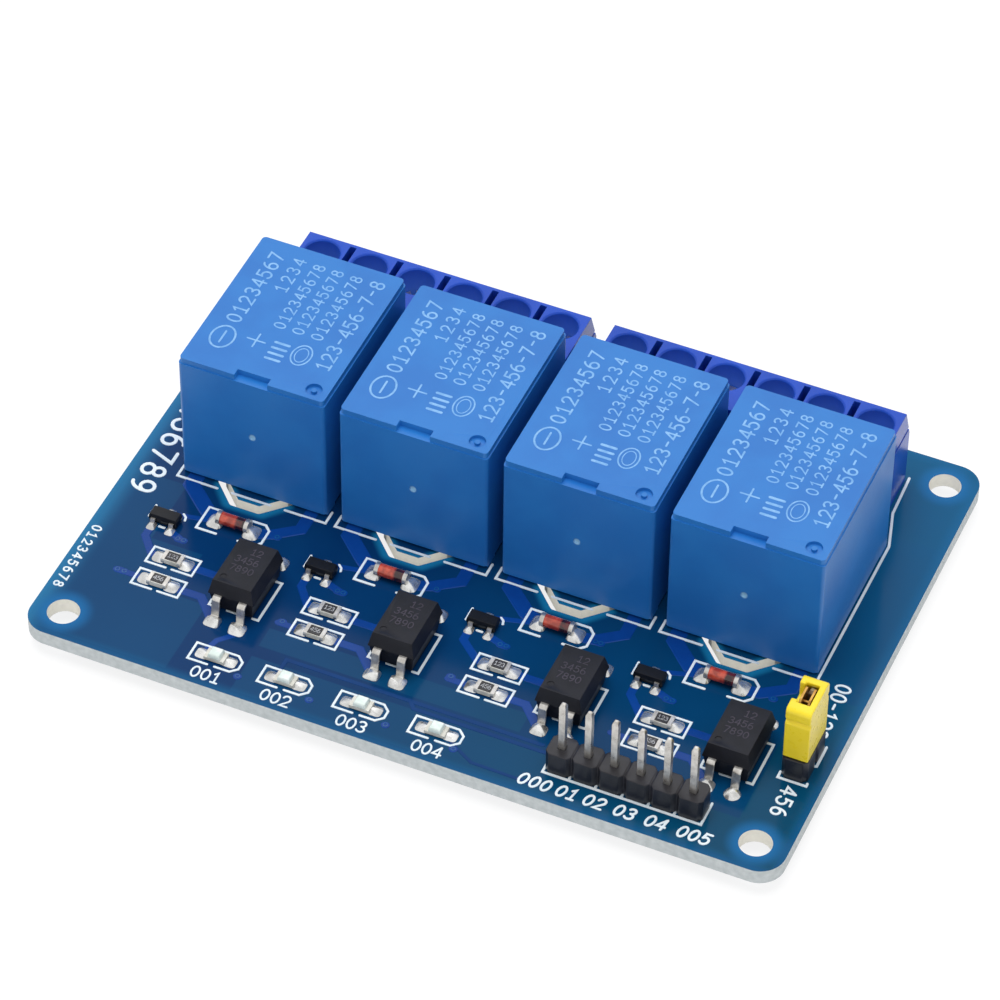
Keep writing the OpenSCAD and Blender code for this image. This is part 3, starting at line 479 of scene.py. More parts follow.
def moulded(name, tone, deep, roughness, spread=0.08, grain=5.0, mottle=0.25, bump=0.15, **plain):
    """Moulded plastic: two close tones in a broad cloud, fine grain in its gloss and relief."""
    s = Surface(name, roughness, **plain)
    height, cloud = s.grain(grain, mottle)
    s.colour(s.mix(s.ramp(cloud, 0.35, 0.65), srgb(deep), srgb(tone)))
    s.rough(height, roughness - spread, roughness + spread)
    s.bump(height, bump)
    return s.material


def metal(name, tone, deep, roughness, spread=0.1, grain=3.0, mottle=1.2, bump=0.3, metallic=0.85):
    """Plated or soldered metal: streaks of two tones, uneven gloss and a faintly wavy skin."""
    s = Surface(name, roughness, metallic=metallic)
    height, cloud = s.grain(grain, mottle)
    s.colour(s.mix(s.ramp(cloud, 0.3, 0.7), srgb(deep), srgb(tone)))
    s.rough(cloud, roughness - spread, roughness + spread)
    s.bump(height, bump, 0.03)
    return s.material


# Copper pours under the mask, in millimetres from the board's corner: x0, y0, x1, y1
POURS = [(0.6, 0.6, 6.3, 22.5), (0.6, 0.6, 14.8, 9.2), (4.9, 8.9, 11.6, 14.9),
         (21.4, 0.6, 74.4, 5.2), (21.4, 6.6, 47.5, 9.0), (69.5, 0.6, 74.4, 22.0),
         (20.8, 43.6, 74.4, 54.4), (0.6, 43.6, 19.0, 54.4)]
POUR_EDGE = 0.06   # half the width of a pour's soft edge
FACE_SKIN = 0.004  # how far below the board's two faces a point still counts as mask

# Where the mask's painted light through the laminate begins and is full, in millimetres from the
# board's edge, a hole's centre and a slot's middle line, and how far the last two's walls reach
RIM_GLOW, HOLE_GLOW, SLOT_GLOW = (1.3, 0.0), (3.1, 1.6), (1.3, 0.5)
HOLE_WALL, SLOT_WALL = 1.8, 0.8
MASK_GLOSS, FIBRE_GLOSS = 0.14, 0.6


def laminate():
    """Glossy blue solder mask on the flat faces and bare fibre on every cut wall. The mask is a
    little paler over the copper pours. It turns teal towards the right and paler towards the far
    right corner, which is painted reflection, and is brighter where light comes through the
    laminate, painted light: along its rim, round its corner holes and beside the milled slots. It
    has a band of painted light along its left edge. The fibre of the milled walls is paler in
    part as painted light, and they glow as painted light. Distances are worked out in the folded
    quarter of the board, and for the slots in one relay's pitch folded about its middle."""
    s = Surface("solder_mask", MASK_GLOSS, ior=1.5, specular_ior_level=0.1, emission_strength=0.22)
    x, y, z = s.axes()
    height, cloud = s.grain(1.6, 0.1)
    reach_x = s.math("SUBTRACT", BOARD_L / 2 * MM, s.math("ABSOLUTE", x))
    reach_y = s.math("SUBTRACT", BOARD_W / 2 * MM, s.math("ABSOLUTE", y))
    rim = s.fade(s.math("MINIMUM", reach_x, reach_y), *RIM_GLOW)
    inset = HOLE_INSET * MM
    hole = s.length(s.point(s.math("SUBTRACT", reach_x, inset), s.math("SUBTRACT", reach_y, inset)))
    ring = s.fade(hole, *HOLE_GLOW)
    first, front = to_frame((RELAYS[0][0], RELAY_FRONT, 0))[:2].tolist()
    row_middle = first + 1.5 * RELAY_PITCH * MM
    within = s.math("LESS_THAN", s.math("ABSOLUTE", s.math("SUBTRACT", x, row_middle)),
                    2 * RELAY_PITCH * MM)
    bay = s.point(s.math("ABSOLUTE", s.from_relay(x)), s.math("SUBTRACT", y, front))
    bend = (SLOT_HALF[0] * MM, SLOT_Y * MM)
    base = s.segment_distance(bay, (0, SLOT_Y * MM), bend)
    slot = s.math("MINIMUM", base, s.segment_distance(bay, bend, (SLOT_HALF[1] * MM, 0)))
    halo = s.math("MULTIPLY", s.fade(slot, *SLOT_GLOW), within)
    corners = [to_frame([(x0, y0, 0), (x1, y1, 0)])[:, :2].ravel() for x0, y0, x1, y1 in POURS]
    pour = s.fold("MINIMUM", [s.box_distance(x, y, box.tolist()) for box in corners])
    pour = s.fade(pour, POUR_EDGE, -POUR_EDGE)
    mask = s.mix(pour, srgb("04305f"), srgb("0a3e69"))
    # Teal towards the right: painted reflection
    teal = s.mix(pour, srgb("033a62"), srgb("03415f"))
    mask = s.mix(s.fade(x, -0.3 * BOARD_L, 0.5 * BOARD_L), mask, teal)
    # Paler towards the far right corner: painted reflection; a band of painted light along the left edge
    far = s.fade(s.math("ADD", x, y), 18, 50)
    left = s.fade(x, 2.5 - BOARD_L / 2, -BOARD_L / 2)
    # Mixed in: painted reflection, a random cloud, and painted light along the rim and the left edge,
    # round the holes and beside the slots
    for share, most, tone in ((far, 0.8, "075782"), (s.ramp(cloud, 0.3, 0.7), 0.15, "10507e"),
                              (rim, 0.5, "0d608f"), (left, 0.6, "2a7aa8"), (ring, 0.8, "14659f"),
                              (halo, 0.8, "1a7aa8")):
        mask = s.mix(s.math("MULTIPLY", share, most), mask, srgb(tone))
    milled = s.math("MULTIPLY", s.math("LESS_THAN", slot, SLOT_WALL * MM), within)
    milled = s.math("MAXIMUM", milled, s.math("LESS_THAN", hole, HOLE_WALL * MM))
    fibre = s.mix(height, srgb("a9b2b4"), srgb("dfe4e6"))
    # The milled walls' warmer, paler fibre is partly painted light
    fibre = s.mix(milled, fibre, s.mix(height, srgb("c9c8c2"), srgb("e6e4dc")))
    middle_z = float(to_frame((0, 0, -BOARD_T / 2))[2])
    depth = s.math("ABSOLUTE", s.math("SUBTRACT", z, middle_z))
    flat = s.math("GREATER_THAN", depth, (BOARD_T / 2 - FACE_SKIN) * MM)
    s.colour(s.mix(flat, fibre, mask))
    # The milled walls glow: painted light
    s.glow(s.math("MULTIPLY", milled, s.math("SUBTRACT", 1.0, flat)), "f3f0e4")
    s.rough(flat, FIBRE_GLOSS, MASK_GLOSS)
    s.bump(height, 0.05)
    return s.material


# From a gate mark's middle to where its tone begins and is full, and how far behind the cover's
# front it reaches, in millimetres
GATE_EDGE = (0.42, 0.2)
GATE_DEPTH = 0.2


def relay_case():
    """Matt blue moulded case with a pale round gate mark in the middle of its front."""
    s = Surface("relay_blue", 0.36, ior=1.46)
    height, cloud = s.grain(6.0, 0.2)
    x, y, z = s.axes()
    front = float(to_frame((0, RELAY_FRONT + GATE_DEPTH, 0))[1])
    up = s.math("SUBTRACT", z, float(to_frame(RELAYS[0])[2]))
    gate = s.fade(s.length(s.point(s.from_relay(x), up)), *GATE_EDGE)
    gate = s.math("MULTIPLY", gate, s.math("LESS_THAN", y, front))
    body = s.mix(s.ramp(cloud, 0.35, 0.65), srgb("206cba"), srgb("2473c0"))
    s.colour(s.mix(s.math("MULTIPLY", gate, 0.75), body, srgb("a5d4ee")))
    s.rough(height, 0.3, 0.42)
    s.bump(height, 0.12)
    return s.material


# In millimetres: from a screw well's middle to where its glow begins and is full, how far below
# the housing's top a well starts, how far above it the glow's rise starts, and how far beyond the
# screws the row of wells reaches
WELL_EDGE = (1.9, 1.8)
WELL_TOP = 0.1
GLOW_START = 1.2
ROW_SLACK = 0.5


def terminal_case():
    """Deep blue nylon. Inside the round screw wells it glows faintly, since light comes through
    the thin walls: well distances are worked out in one way's pitch folded about its middle.
    The glow grows downwards and is full at the screws."""
    s = Surface("terminal_blue", 0.22, ior=1.5, specular_ior_level=0.25, emission_strength=1.0)
    height, cloud = s.grain(5.0, 0.2)
    x, y, z = s.axes()
    starts = sorted(low[0] for low, high in solid_boxes("terminal_screws_left"))
    half_way = float(starts[1] - starts[0]) / 2 * MM
    wells = []
    for side in ("left", "right"):
        low, high = node_box(f"terminal_screws_{side}")
        row_x, row_y = to_frame((low + high) / 2).tolist()[:2]
        along = s.wrap(s.math("SUBTRACT", x, row_x + half_way), half_way)
        near = s.math("LESS_THAN", s.math("ABSOLUTE", s.math("SUBTRACT", x, row_x)),
                      ((high[0] - low[0]) / 2 + ROW_SLACK) * MM)
        well = s.length(s.point(along, s.math("SUBTRACT", y, row_y)))
        wells.append(s.math("MULTIPLY", s.fade(well, *WELL_EDGE), near))
    top, deep = (float(to_frame(node_box(node)[1])[2])
                 for node in ("terminal_housing_left", "terminal_screws_left"))
    inside = s.math("MULTIPLY", s.fold("MAXIMUM", wells),
                    s.math("LESS_THAN", z, top - WELL_TOP * MM))
    s.colour(s.mix(s.ramp(cloud, 0.35, 0.65), srgb("204ebc"), srgb("1d48b0")))
    s.glow(s.math("MULTIPLY", inside, s.ramp(z, top + GLOW_START * MM, deep)), "203a6c")
    s.rough(height, 0.18, 0.26)
    s.bump(height, 0.1)
    return s.material


# Where a diode's dark band begins and is full, in millimetres right of its middle
DIODE_BAND = (0.2, 0.5)


def diode_body():
    """Orange-red glass on the left, with a dark band before the right cap."""
    s = Surface("diode_glass", 0.06, coat_weight=0.6)
    cloud = s.grain(2.0, 1.5)[1]
    x = s.axes()[0]
    half_pitch = (DIODES[3][0] - DIODES[0][0]) / 3 * MM / 2
    bands = []
    for diode in DIODES:
        from_middle = s.math("SUBTRACT", x, float(to_frame(diode)[0]))
        inside = s.math("LESS_THAN", s.math("ABSOLUTE", from_middle), half_pitch)
        bands.append(s.math("MULTIPLY", inside, s.fade(from_middle, *DIODE_BAND)))
    glass = s.mix(s.ramp(cloud, 0.35, 0.65), srgb("9c3322"), srgb("cf5036"))
    dark = s.mix(s.ramp(cloud, 0.45, 0.6), srgb("2a0a0e"), srgb("5c1c1c"))
    s.colour(s.mix(s.fold("MAXIMUM", bands), glass, dark))
    return s.material


PAINT = {
    "mask": laminate(),
    "track": moulded("masked_copper", "0a3f8c", "083a84", 0.16, 0.03, 1.6, 0.3, 0.05,
                     ior=1.5, specular_ior_level=0.2),
    "feeder": moulded("masked_feeder", "0b3a72", "09366c", 0.16, 0.03, 1.6, 0.3, 0.05,
                      ior=1.5, specular_ior_level=0.1),
    "copper_ring": moulded("masked_rim", "12588f", "0f4f86", 0.16, 0.03, 1.6, 0.3, 0.05),
    "silk": moulded("white_ink", "e6eef3", "d8e4ec", 0.55, 0.05, 4.0, 0.5, 0.2),
    "relay": relay_case(),
    "relay_print": moulded("relay_print", "84b4e2", "6da2d8", 0.5, 0.05, 5.0, 1.6, 0.1),
    "terminal": terminal_case(),
    "black": moulded("black_compound", "1a1b22", "15161c", 0.45, 0.08, 8.0, 0.6, 0.35,
                     specular_ior_level=0.3),
    # The transistors' compound is the optocouplers' black made darker: painted shade
    "shaded_black": moulded("shaded_transistor_compound", "0e1016", "0a0c11", 0.4, 0.08, 8.0, 0.6, 0.3,
                           specular_ior_level=0.3),
    "engraved": moulded("engraved_mark", "3f3a46", "35313c", 0.6, 0.05, 6.0, 0.8, 0.1),
    "strip": moulded("header_black", "1f1f27", "17161c", 0.35, 0.06, 6.0, 0.6, 0.15),
    "yellow": moulded("jumper_yellow", "f2da2c", "eed424", 0.28, 0.03, 1.2, 0.3, 0.03),
    "ceramic": moulded("white_ceramic", "d9d8d0", "c6c4ba", 0.4, 0.06, 5.0, 1.2, 0.2),
    "resistor_top": moulded("resistor_glaze", "2b2a2d", "201f22", 0.25, 0.05, 5.0, 0.8, 0.1),
    "resistor_ink": moulded("resistor_ink", "b4b6ba", "a2a4a8", 0.5, 0.05, 5.0, 0.8, 0.1),
    "lamp": moulded("lamp_resin", "e6efec", "d3e2dc", 0.15, 0.05, 3.0, 1.5, 0.2, coat_weight=0.5),
    "tin": metal("tin_plate", "dcd9d4", "bab6b0", 0.3),
    "solder": metal("solder", "eeeeec", "c4c4c2", 0.27, 0.08, 2.2, 1.0, 0.4),
    "steel": metal("plated_steel", "c6c6ca", "98989e", 0.3),
    "brass": metal("brass_sheet", "d2a558", "a5763a", 0.3),
    "diode": diode_body(),
}

NODE_PAINT = {
    "circuit_board": "mask", "relay_cover": "relay", "relay_base": "strip", "relay_pins": "tin",
    "terminal_housing": "terminal", "terminal_screws": "steel", "terminal_cages": "brass",
    "wire_guards": "steel", "optocoupler_body": "black", "optocoupler_leads": "tin",
    "transistor_body": "shaded_black", "transistor_leads": "tin", "diode_glass": "diode",
    "lamp_lens": "lamp", "diode_caps": "tin", "lamp_bases": "ceramic",
    "resistor_bodies": "ceramic", "resistor_caps": "tin", "input_header_strip": "strip",
    "input_header_pins": "tin", "jumper_header_strip": "strip", "jumper_header_pins": "tin",
    "jumper_cap": "yellow", "jumper_contact": "brass", "solder_joints_top": "solder",
    "solder_joints_bottom": "solder",
}


def paint_for(node):
    """A node's finish, by its name without the channel's number or the side."""
    stem = node.rsplit("_", 1)[0]
    return PAINT[NODE_PAINT.get(node) or NODE_PAINT[stem]]


for node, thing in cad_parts.items():
    for holder in thing.material_slots:
        holder.material = paint_for(node)


# Neighbouring faces within the first angle are one flat face, and edges sharper than the second
# are rounded. A face is a top when its normal's height is over TOP_NORMAL.
TOP_NORMAL = 0.9
FLAT_ANGLE, EDGE_ANGLE = math.radians(1), math.radians(35)


def soften(node, radius, steps=2):
    """A copy of a rigid node with its edges rounded to a small radius, shown in its place. Its
    upward faces with more than four corners are split into triangles, which shade evenly."""
    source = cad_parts[node]
    mesh = source.data.copy()
    work = bmesh.new()
    work.from_mesh(mesh)
    bmesh.ops.remove_doubles(work, verts=work.verts, dist=CAD_WELD)
    bmesh.ops.dissolve_limit(work, angle_limit=FLAT_ANGLE, verts=work.verts, edges=work.edges)
    tops = [face for face in work.faces if len(face.verts) > 4 and face.normal.z > TOP_NORMAL]
    bmesh.ops.triangulate(work, faces=tops)
    work.to_mesh(mesh)
    work.free()
    mesh.polygons.foreach_set("use_smooth", [True] * len(mesh.polygons))
    piece = bpy.data.objects.new(node + "_soft", mesh)
    bpy.context.scene.collection.objects.link(piece)
    bevel = piece.modifiers.new("rounded_edges", "BEVEL")
    bevel.width = radius * MM
    bevel.segments = steps
    bevel.limit_method = "ANGLE"
    bevel.angle_limit = EDGE_ANGLE
    bevel.use_clamp_overlap = True
    level = piece.modifiers.new("flat_faces_stay_flat", "WEIGHTED_NORMAL")
    level.weight = 100
    level.keep_sharp = True
    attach(piece, "root")
    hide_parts(node)


# Edge radius in millimetres, of the nodes that each channel has and of the others
CHANNEL_EDGES = {"relay_cover": 0.09, "optocoupler_body": 0.1, "optocoupler_leads": 0.05,
                 "transistor_body": 0.04, "lamp_lens": 0.05}
OTHER_EDGES = {"terminal_housing_left": 0.08, "terminal_housing_right": 0.08,
               "input_header_strip": 0.1, "jumper_header_strip": 0.1, "input_header_pins": 0.05}

for k in CHANNELS:
    for stem, radius in CHANNEL_EDGES.items():
        soften(f"{stem}_{k}", radius)
for node, radius in OTHER_EDGES.items():
    soften(node, radius)
soften("jumper_cap", 0.14, steps=3)

# --- Board artwork -----------------------------------------------------------------


def build_silk():
    """Outlines printed round the parts, drawn from each part's middle or its strip's corner."""
    parts = []

    def ink(points, at=(0, 0), width=0.27):
        parts.append(line(np.asarray(points, float) + at, width, 0.0, INK_T))

    for relay, opto, transistor, diode, lamp in zip(RELAYS, OPTOS, TRANSISTORS, DIODES, LAMPS):
        x, y = relay[0], RELAY_FRONT - 0.7
        for s in (-1, 1):
            ink([(s * 3.55, 0), (s * 7.75, 0), (s * 7.75, 1.5)], (x, y))
        ink([(-2.0, 0), (2.0, 0)], (x, y))
        x, y = diode[:2]
        ink([(-1.2, -1.45), (-3.25, -1.45), (-3.25, 1.45), (-2.0, 1.45)], (x, y))
        ink([(1.1, -1.45), (2.65, -1.45), (3.25, -0.85), (3.25, 0.85), (2.65, 1.45), (1.3, 1.45)],
            (x, y))
        x, y = opto[:2]
        ink([(-2.55, -1.9), (-2.55, -2.75), (-2.0, -2.75)], (x, y))
        ink([(-0.65, -2.75), (0.65, -2.75)], (x, y))
        ink([(1.95, -2.75), (2.5, -2.75), (2.5, 2.4), (1.9, 2.4)], (x, y))
        x, y = transistor[:2]
        ink([(-0.25, -0.85), (0.25, -0.85)], (x, y))
        ink([(-1.75, 0), (-1.75, 1.5)], (x, y))
        ink([(1.15, 1.5), (1.5, 1.2), (1.6, 0.8)], (x, y), 0.25)
        x, y = lamp[:2]
        ink([(-0.45, -1.05), (-2.45, -1.05), (-2.45, 1.05), (1.8, 1.05), (2.45, 0.45),
             (2.45, -0.45), (1.8, -1.05), (0.3, -1.05)], (x, y), 0.24)
    for x, y, _ in RESISTORS:
        ink([(-0.3, -1.03), (-2.4, -1.03), (-2.4, 1.03), (2.4, 1.03), (2.4, -1.03), (0.35, -1.03)],
            (x, y), 0.24)
    low, high = node_box("input_header_strip")
    pitch = (high[0] - low[0]) / 6
    x0, x1, y = low[0] - 0.05, high[0] + 0.05, low[1] - 0.15
    ink([(x0, y + 1.3), (x0, y), (x1, y), (x1, y + 2.7)])
    for k in range(1, 6):
        ink([(x0 + k * pitch, y), (x0 + k * pitch, y + 0.4)])
    low, high = node_box("jumper_header_strip")
    x0, x1, y = low[0] - 0.1, high[0] + 0.1, low[1] - 0.2
    ink([(x0, y + 0.7), (x0, y), (x1, y), (x1, y + 0.3)])
    ink([(x1 - 0.3, y + 2.5), (x1, y + 2.6), (x1, y + 5.1)])
    x, y = RELAYS[-1][0] + 7.75, RELAY_FRONT - 0.7
    ink([(x, y), (x, y + 18.9), (x - 1.2, y + 23.1), (x - 1.4, y + 28.1)])
    return parts


LABEL_STARTS = (49.6, 53.3, 55.95, 58.9, 61.9, 65.0)


def build_labels():
    """Plain numbers beside the lamps, the header, the jumper and the board's left edge."""
    parts = []
    for k, lamp in enumerate(LAMPS, 1):
        parts += number(f"00{k}", (lamp[0] - 1.4, 0.72), 1.25, 0.0, pen=0.16, pitch=0.83)
    for k, x in enumerate(LABEL_STARTS):
        row = f"00{k}" if k in (0, 5) else f"0{k}"
        parts += number(row, (x, 1.05), 1.25, 0.0, pen=0.2, pitch=0.88, slant=0.2)
    right = BOARD_L - 3.3
    parts += number("00-123", (right, 23.9), 1.4, 0.0, turn=-90, pen=0.17)
    parts += number("456", (right, 10.4), 1.4, 0.0, turn=-90, pen=0.17, pitch=0.95)
    parts += number("0123456789", (1.3, 41.0), 2.3, 0.0, turn=-90, pen=0.16, pitch=0.94)
    parts += number("012345678", (0.6, 14.2), 0.9, 0.0, turn=-90, pen=0.2, pitch=1.09)
    return parts


add_piece("silk_outlines", build_silk(), PAINT["silk"])
add_piece("silk_numbers", build_labels(), PAINT["silk"])

# Plated vias: middle x and y, and the length of the land across. A long land has a via at each
# end and a short one has one in its middle.
LAND_W = 0.8
VIAS = [(8.9, 15.8, 1.4), (5.55, 10.0, 1.5), (22.1, 10.2, 0.9), (39.1, 10.3, 0.9),
        (17.0, 19.8, 0.9), (33.4, 19.8, 0.9), (49.75, 19.7, 1.3), (67.0, 19.8, 0.9),
        (21.3, 2.35, 0.8), (28.5, 2.4, 0.8), (36.1, 2.45, 0.8), (42.9, 2.3, 0.8),
        (25.4, 15.8, 1.4), (41.9, 15.8, 1.4), (58.4, 15.8, 1.4)]


def build_tracks():
    """Copper tracks under the mask: the short ones from pad to pad of each channel, with round
    via lands, and the long ones that run along the front to the header."""
    parts, feeders = [], []

    def track(points, width, into=parts):
        into.append(line(points, width, 0.0, COPPER_T))

    for k, (relay, opto, transistor, diode) in enumerate(zip(RELAYS, OPTOS, TRANSISTORS, DIODES)):
        lower, upper = RESISTORS[2 * k], RESISTORS[2 * k + 1]
        rx, ox, tx, dx, dy = lower[0], opto[0], transistor[0], diode[0], diode[1]
        low_y, high_y = lower[1], upper[1]
        via_x = relay[0] - 3.7
        track([(rx + 1.5, low_y), (ox - 3.6, low_y), (ox - 1.3, low_y - 2.4)], 0.9)
        track([(rx + 1.5, high_y), (ox - 1.5, high_y)], 0.9)
        track([(tx - 0.95, 16.4), (tx - 0.95, 15.0), (rx - 2.4, 13.2), (rx - 1.5, high_y)], 0.8)
        track([(tx + 0.95, 16.4), (via_x, 15.8)], 0.8)
        track([(rx - 3.8, low_y), (rx - 1.5, low_y)], 0.7)
        track([(relay[0] - 6, 27.5), (relay[0] - 6, 22.8), (dx - 3.4, 20.4), (dx - 1.9, dy)], 1.6)
        track([(relay[0] + 6, 27.5), (relay[0] + 6, 21.6), (dx + 3.6, 19.9), (dx + 1.9, dy)], 1.3)
        track([(dx - 2.1, dy), (tx, transistor[1] + 1.1)], 0.6)
    opto_x, lamp_x = OPTOS[0][0], LAMPS[0][0]
    track([(opto_x + 1.3, 7.5), (opto_x + 1.2, 6.8), (opto_x + 0.1, 5.6), (lamp_x - 1.4, 3.9)], 0.6)
    header_x = node_box("input_header_strip")[0][0]
    second, third, fourth = (lamp[0] for lamp in LAMPS[1:])
    track([(second - 1.1, 4.2), (second - 1.1, 6.05), (header_x - 1.3, 6.05)], 0.45, feeders)
    track([(third + 3.8, 6.05), (third + 4.4, 5.3), (header_x - 0.3, 5.3)], 0.45, feeders)
    track([(fourth + 1.3, 3.2), (fourth + 4.3, 1.5), (header_x - 0.5, 1.4)], 0.35, feeders)
    for x, y, reach in VIAS:
        half = (reach - LAND_W) / 2 + 0.02   # a hair more, so that no land's two points are one
        track([(x - half, y), (x + half, y)], LAND_W)
    return parts, feeders


def build_via_rims():
    """A thin raised rim round each plated via: a line carried round a small circle."""
    parts = []
    for x, y, reach in VIAS:
        for s in ((-1, 1) if reach > 1 else (0,)):
            circle = arc(x + s * (reach - LAND_W) / 2, y, 0.2, 0.2, 0, 330, 12)
            parts.append(line(circle, 0.09, 0.0, COPPER_T + 0.03, closed=True))
    return parts


add_piece("via_rims", build_via_rims(), PAINT["copper_ring"])
tracks, feeders = build_tracks()
add_piece("masked_tracks", tracks, PAINT["track"])
add_piece("masked_feeders", feeders, PAINT["feeder"])

# --- Print on the relays -----------------------------------------------------------

RELAY_ROWS = [
    # (row's base line from the relay's middle, start from its front, height, digits, spacing)
    (-4.3, 6.6, 1.4, "01234567", 0.94),
    (-2.1, 12.1, 1.2, "1234", 1.1),
    (-0.1, 7.5, 1.1, "012345678", 0.98),
    (1.8, 7.5, 1.1, "012345678", 0.98),
    (3.75, 7.5, 1.1, "012345678", 0.98),
    (6.05, 4.1, 1.35, "123-456-7-8", 0.89),
]


def build_relay_print(relay, top):
    """Rows of plain digits along a cover's top, with rings, a cross and bars beside them."""
    parts = []

    def mark(points, width, closed=False):
        parts.append(line(points, width, top, PRINT_T, closed=closed))

    def ring(cx, cy, rx, ry, width):
        mark(arc(cx, cy, rx, ry, 0, 345, 24), width, closed=True)

    for base, start, height, text, pitch in RELAY_ROWS:
        place = (relay[0] + base, RELAY_FRONT + start)
        parts += number(text, place, height, top, turn=90, pen=0.145, pitch=pitch, thick=PRINT_T)
    x, y = relay[0], RELAY_FRONT
    ring(x - 4.9, y + 4.3, 1.15, 1.5, 0.2)
    mark([(x - 4.9, y + 3.5), (x - 4.9, y + 5.1)], 0.2)
    mark([(x - 2.7, y + 5.1), (x - 0.9, y + 5.1)], 0.18)
    mark([(x - 1.8, y + 4.2), (x - 1.8, y + 6.0)], 0.18)
    for k in range(4):
        mark([(x - 0.05, y + 3.4 + 0.75 * k), (x + 1.35, y + 3.4 + 0.75 * k)], 0.3)
    ring(x + 2.9, y + 5.0, 0.95, 1.35, 0.15)
    ring(x + 2.9, y + 5.0, 0.6, 0.95, 0.1)
    return parts


for k, relay in zip(CHANNELS, RELAYS):
    top = node_box(f"relay_cover_{k}")[1][2]
    add_piece(f"relay_print_{k}", build_relay_print(relay, top), PAINT["relay_print"])

# --- Small marks -------------------------------------------------------------------


def build_resistor_marks():
    """Dark glaze over each ceramic body and three pale digits on it."""
    glaze, digits, thick = [], [], 0.03
    between_rows = sum(place[1] for place in RESISTORS) / len(RESISTORS)
    for low, high in solid_boxes("resistor_bodies"):
        x, y = (low[:2] + high[:2]) / 2
        x0, y0, x1, y1 = low[0] + 0.02, low[1] + 0.08, high[0] - 0.02, high[1] - 0.08
        glaze.append(slab(x0, y0, x1, y1, high[2], thick))
        row = "123" if y > between_rows else "456"
        digits += number(row, (x - 0.48, y - 0.22), 0.46, high[2] + 0.02, pen=0.14, pitch=0.75,
                         thick=thick)
    return glaze, digits


glaze, digits = build_resistor_marks()
add_piece("resistor_glaze", glaze, PAINT["resistor_top"])
add_piece("resistor_digits", digits, PAINT["resistor_ink"])


def build_opto_marks():
    """Three faint rows of digits moulded into each optocoupler's top."""
    parts = []
    for k, (x, y, _) in zip(CHANNELS, OPTOS):
        top = node_box(f"optocoupler_body_{k}")[1][2]
        for row, left, up in (("12", -0.15, 1.35), ("3456", -1.2, 0.1), ("7890", -1.2, -1.1)):
            parts += number(row, (x + left, y + up), 0.75, top, pen=0.13, pitch=0.82, thick=0.01)
    return parts


add_piece("optocoupler_marks", build_opto_marks(), PAINT["engraved"])


def nearest(place, centres):
    """The centre closest to a place on the board, and its distance."""
    gaps = [math.dist(place, c[:2]) for c in centres]
    return centres[int(np.argmin(gaps))], min(gaps)


# How far a mound's top leans towards its part, as a share of half its pad, and the power of the
# outline of a round pad and a square one
LEAN = {"chip": 0.75, "diode": 0.4, "opto": 0.3, "transistor": 0.3}
ROUND, SQUARE = 2.0, 4.0


def build_solder():
    """A rounded mound over each pad, drawn towards the part whose end or foot it holds: across
    for chips and diodes, front to back for the others. An optocoupler's are round but for one."""
    families = {"chip": RESISTORS + LAMPS, "diode": DIODES, "opto": OPTOS, "transistor": TRANSISTORS}
    parts = []
    for low, high in solid_boxes("solder_joints_top"):
        place = ((low + high) / 2)[:2]
        found = {kind: nearest(place, centres) for kind, centres in families.items()}
        kind = min(found, key=lambda key: found[key][1])
        toward = np.sign(np.asarray(found[kind][0][:2]) - place)
        lean = toward * (high - low)[:2] / 2 * LEAN[kind]
        lean[1 if kind in ("chip", "diode") else 0] = 0
        first = toward[0] > 0 and toward[1] > 0
        parts.append(mound(low, high, lean, ROUND if kind == "opto" and not first else SQUARE))
    return parts


solder = add_piece("solder_mounds", build_solder(), PAINT["solder"], smooth=True)
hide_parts("solder_joints_top")

# --- Stage -------------------------------------------------------------------------

# The floor's tone for the light it throws back, and its shade and glow for what is seen of it;
# the surroundings' strength for lighting and for being seen
FLOOR_TONE, FLOOR_SHADE, FLOOR_GLOW = 0.8, 0.2, 0.84
WORLD_DIM, WORLD_SEEN = 0.5, 1.0
LIGHT_AIM = Vector((0, 0, 0.01))


def ray_mix(tree, plain, seen):
    """Shader that shows one thing to camera, glossy and transmitted rays and another to the rest."""
    path = tree.nodes.new("ShaderNodeLightPath")
    first = tree.nodes.new("ShaderNodeMath")
    second = tree.nodes.new("ShaderNodeMath")
    first.operation = second.operation = "MAXIMUM"
    blend = tree.nodes.new("ShaderNodeMixShader")
    tree.links.new(path.outputs["Is Camera Ray"], first.inputs[0])
    tree.links.new(path.outputs["Is Glossy Ray"], first.inputs[1])
    tree.links.new(first.outputs[0], second.inputs[0])
    tree.links.new(path.outputs["Is Transmission Ray"], second.inputs[1])
    tree.links.new(second.outputs[0], blend.inputs["Fac"])
    tree.links.new(plain, blend.inputs[1])
    tree.links.new(seen, blend.inputs[2])
    return blend.outputs[0]


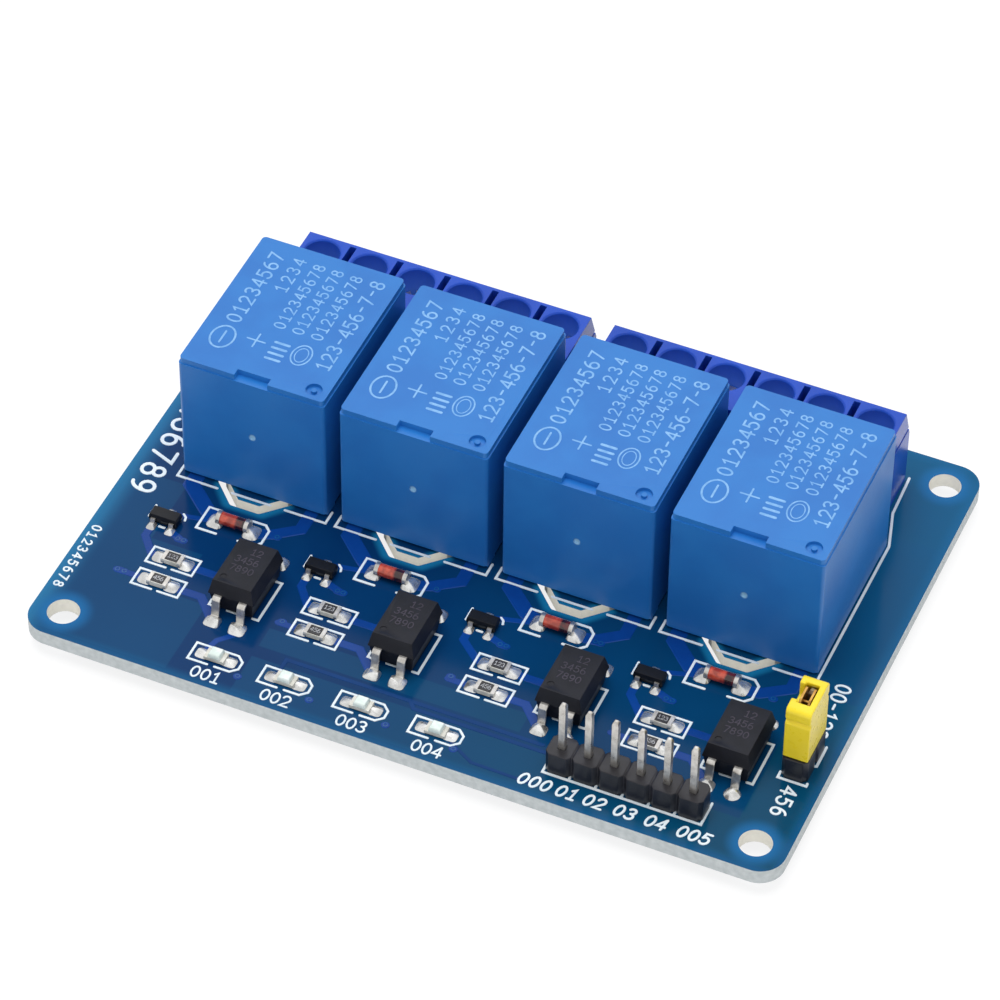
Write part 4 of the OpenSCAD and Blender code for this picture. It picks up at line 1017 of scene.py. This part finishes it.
def build_floor(z):
    """A wide pale floor that keeps the object's soft shadow."""
    bpy.ops.mesh.primitive_plane_add(size=6, location=(0, 0, z))
    floor = bpy.context.object
    floor.name = "floor"
    material = bpy.data.materials.new("pale_floor")
    material.use_nodes = True
    tree = material.node_tree
    shader = tree.nodes["Principled BSDF"]
    shader.inputs["Base Color"].default_value = (*[FLOOR_TONE] * 3, 1)
    shader.inputs["Roughness"].default_value = 0.9
    shader.inputs["Specular IOR Level"].default_value = 0.0
    shade = tree.nodes.new("ShaderNodeBsdfDiffuse")
    shade.inputs["Color"].default_value = (*[FLOOR_SHADE] * 3, 1)
    light = tree.nodes.new("ShaderNodeEmission")
    light.inputs["Strength"].default_value = FLOOR_GLOW
    both = tree.nodes.new("ShaderNodeAddShader")
    tree.links.new(shade.outputs[0], both.inputs[0])
    tree.links.new(light.outputs[0], both.inputs[1])
    out = tree.nodes["Material Output"]
    tree.links.new(ray_mix(tree, shader.outputs[0], both.outputs[0]), out.inputs["Surface"])
    floor.data.materials.append(material)


def build_world():
    """Plain white surroundings, dimmer for diffuse light than for what gloss and camera see."""
    world = bpy.data.worlds.new("studio")
    bpy.context.scene.world = world
    world.use_nodes = True
    tree = world.node_tree
    dim = tree.nodes["Background"]
    seen = tree.nodes.new("ShaderNodeBackground")
    for node, strength in ((dim, WORLD_DIM), (seen, WORLD_SEEN)):
        node.inputs["Color"].default_value = (1, 1, 1, 1)
        node.inputs["Strength"].default_value = strength
    surface = ray_mix(tree, dim.outputs[0], seen.outputs[0])
    tree.links.new(surface, tree.nodes["World Output"].inputs["Surface"])


def add_light(name, place, size, watts, glossy=False):
    """A square soft light at a place in metres, turned to the object."""
    data = bpy.data.lights.new(name, "AREA")
    data.size = size
    data.energy = watts
    lamp = bpy.data.objects.new(name, data)
    lamp.location = place
    lamp.rotation_euler = (lamp.location - LIGHT_AIM).to_track_quat("Z", "Y").to_euler()
    lamp.visible_glossy = glossy
    bpy.context.scene.collection.objects.link(lamp)


def build_camera():
    """Long lens from the front right, looking down at 45 degrees."""
    azimuth, elevation, roll = (math.radians(v) for v in (23.17, 45.5, 0.717))
    data = bpy.data.cameras.new("camera")
    data.lens = 179.6
    data.sensor_width = 36
    data.clip_end = 10
    camera = bpy.data.objects.new("camera", data)
    turn = Matrix.Rotation(azimuth, 4, "Z") @ Matrix.Rotation(math.pi / 2 - elevation, 4, "X")
    place = Matrix.Translation((0.12670, -0.29862, 0.33807))
    camera.matrix_world = place @ turn @ Matrix.Rotation(roll, 4, "Z")
    bpy.context.scene.collection.objects.link(camera)
    bpy.context.scene.camera = camera


build_camera()
build_world()
build_floor(cad_box[0][2])
add_light("overhead", (-0.1, 0.05, 0.9), 0.7, 6.0)
add_light("front_fill", (0.3, -0.8, 0.5), 0.6, 1.5)
add_light("back_sheen", (-0.13, 0.64, 0.86), 0.7, 1.05, glossy=True)
bpy.context.scene.view_settings.view_transform = "Standard"
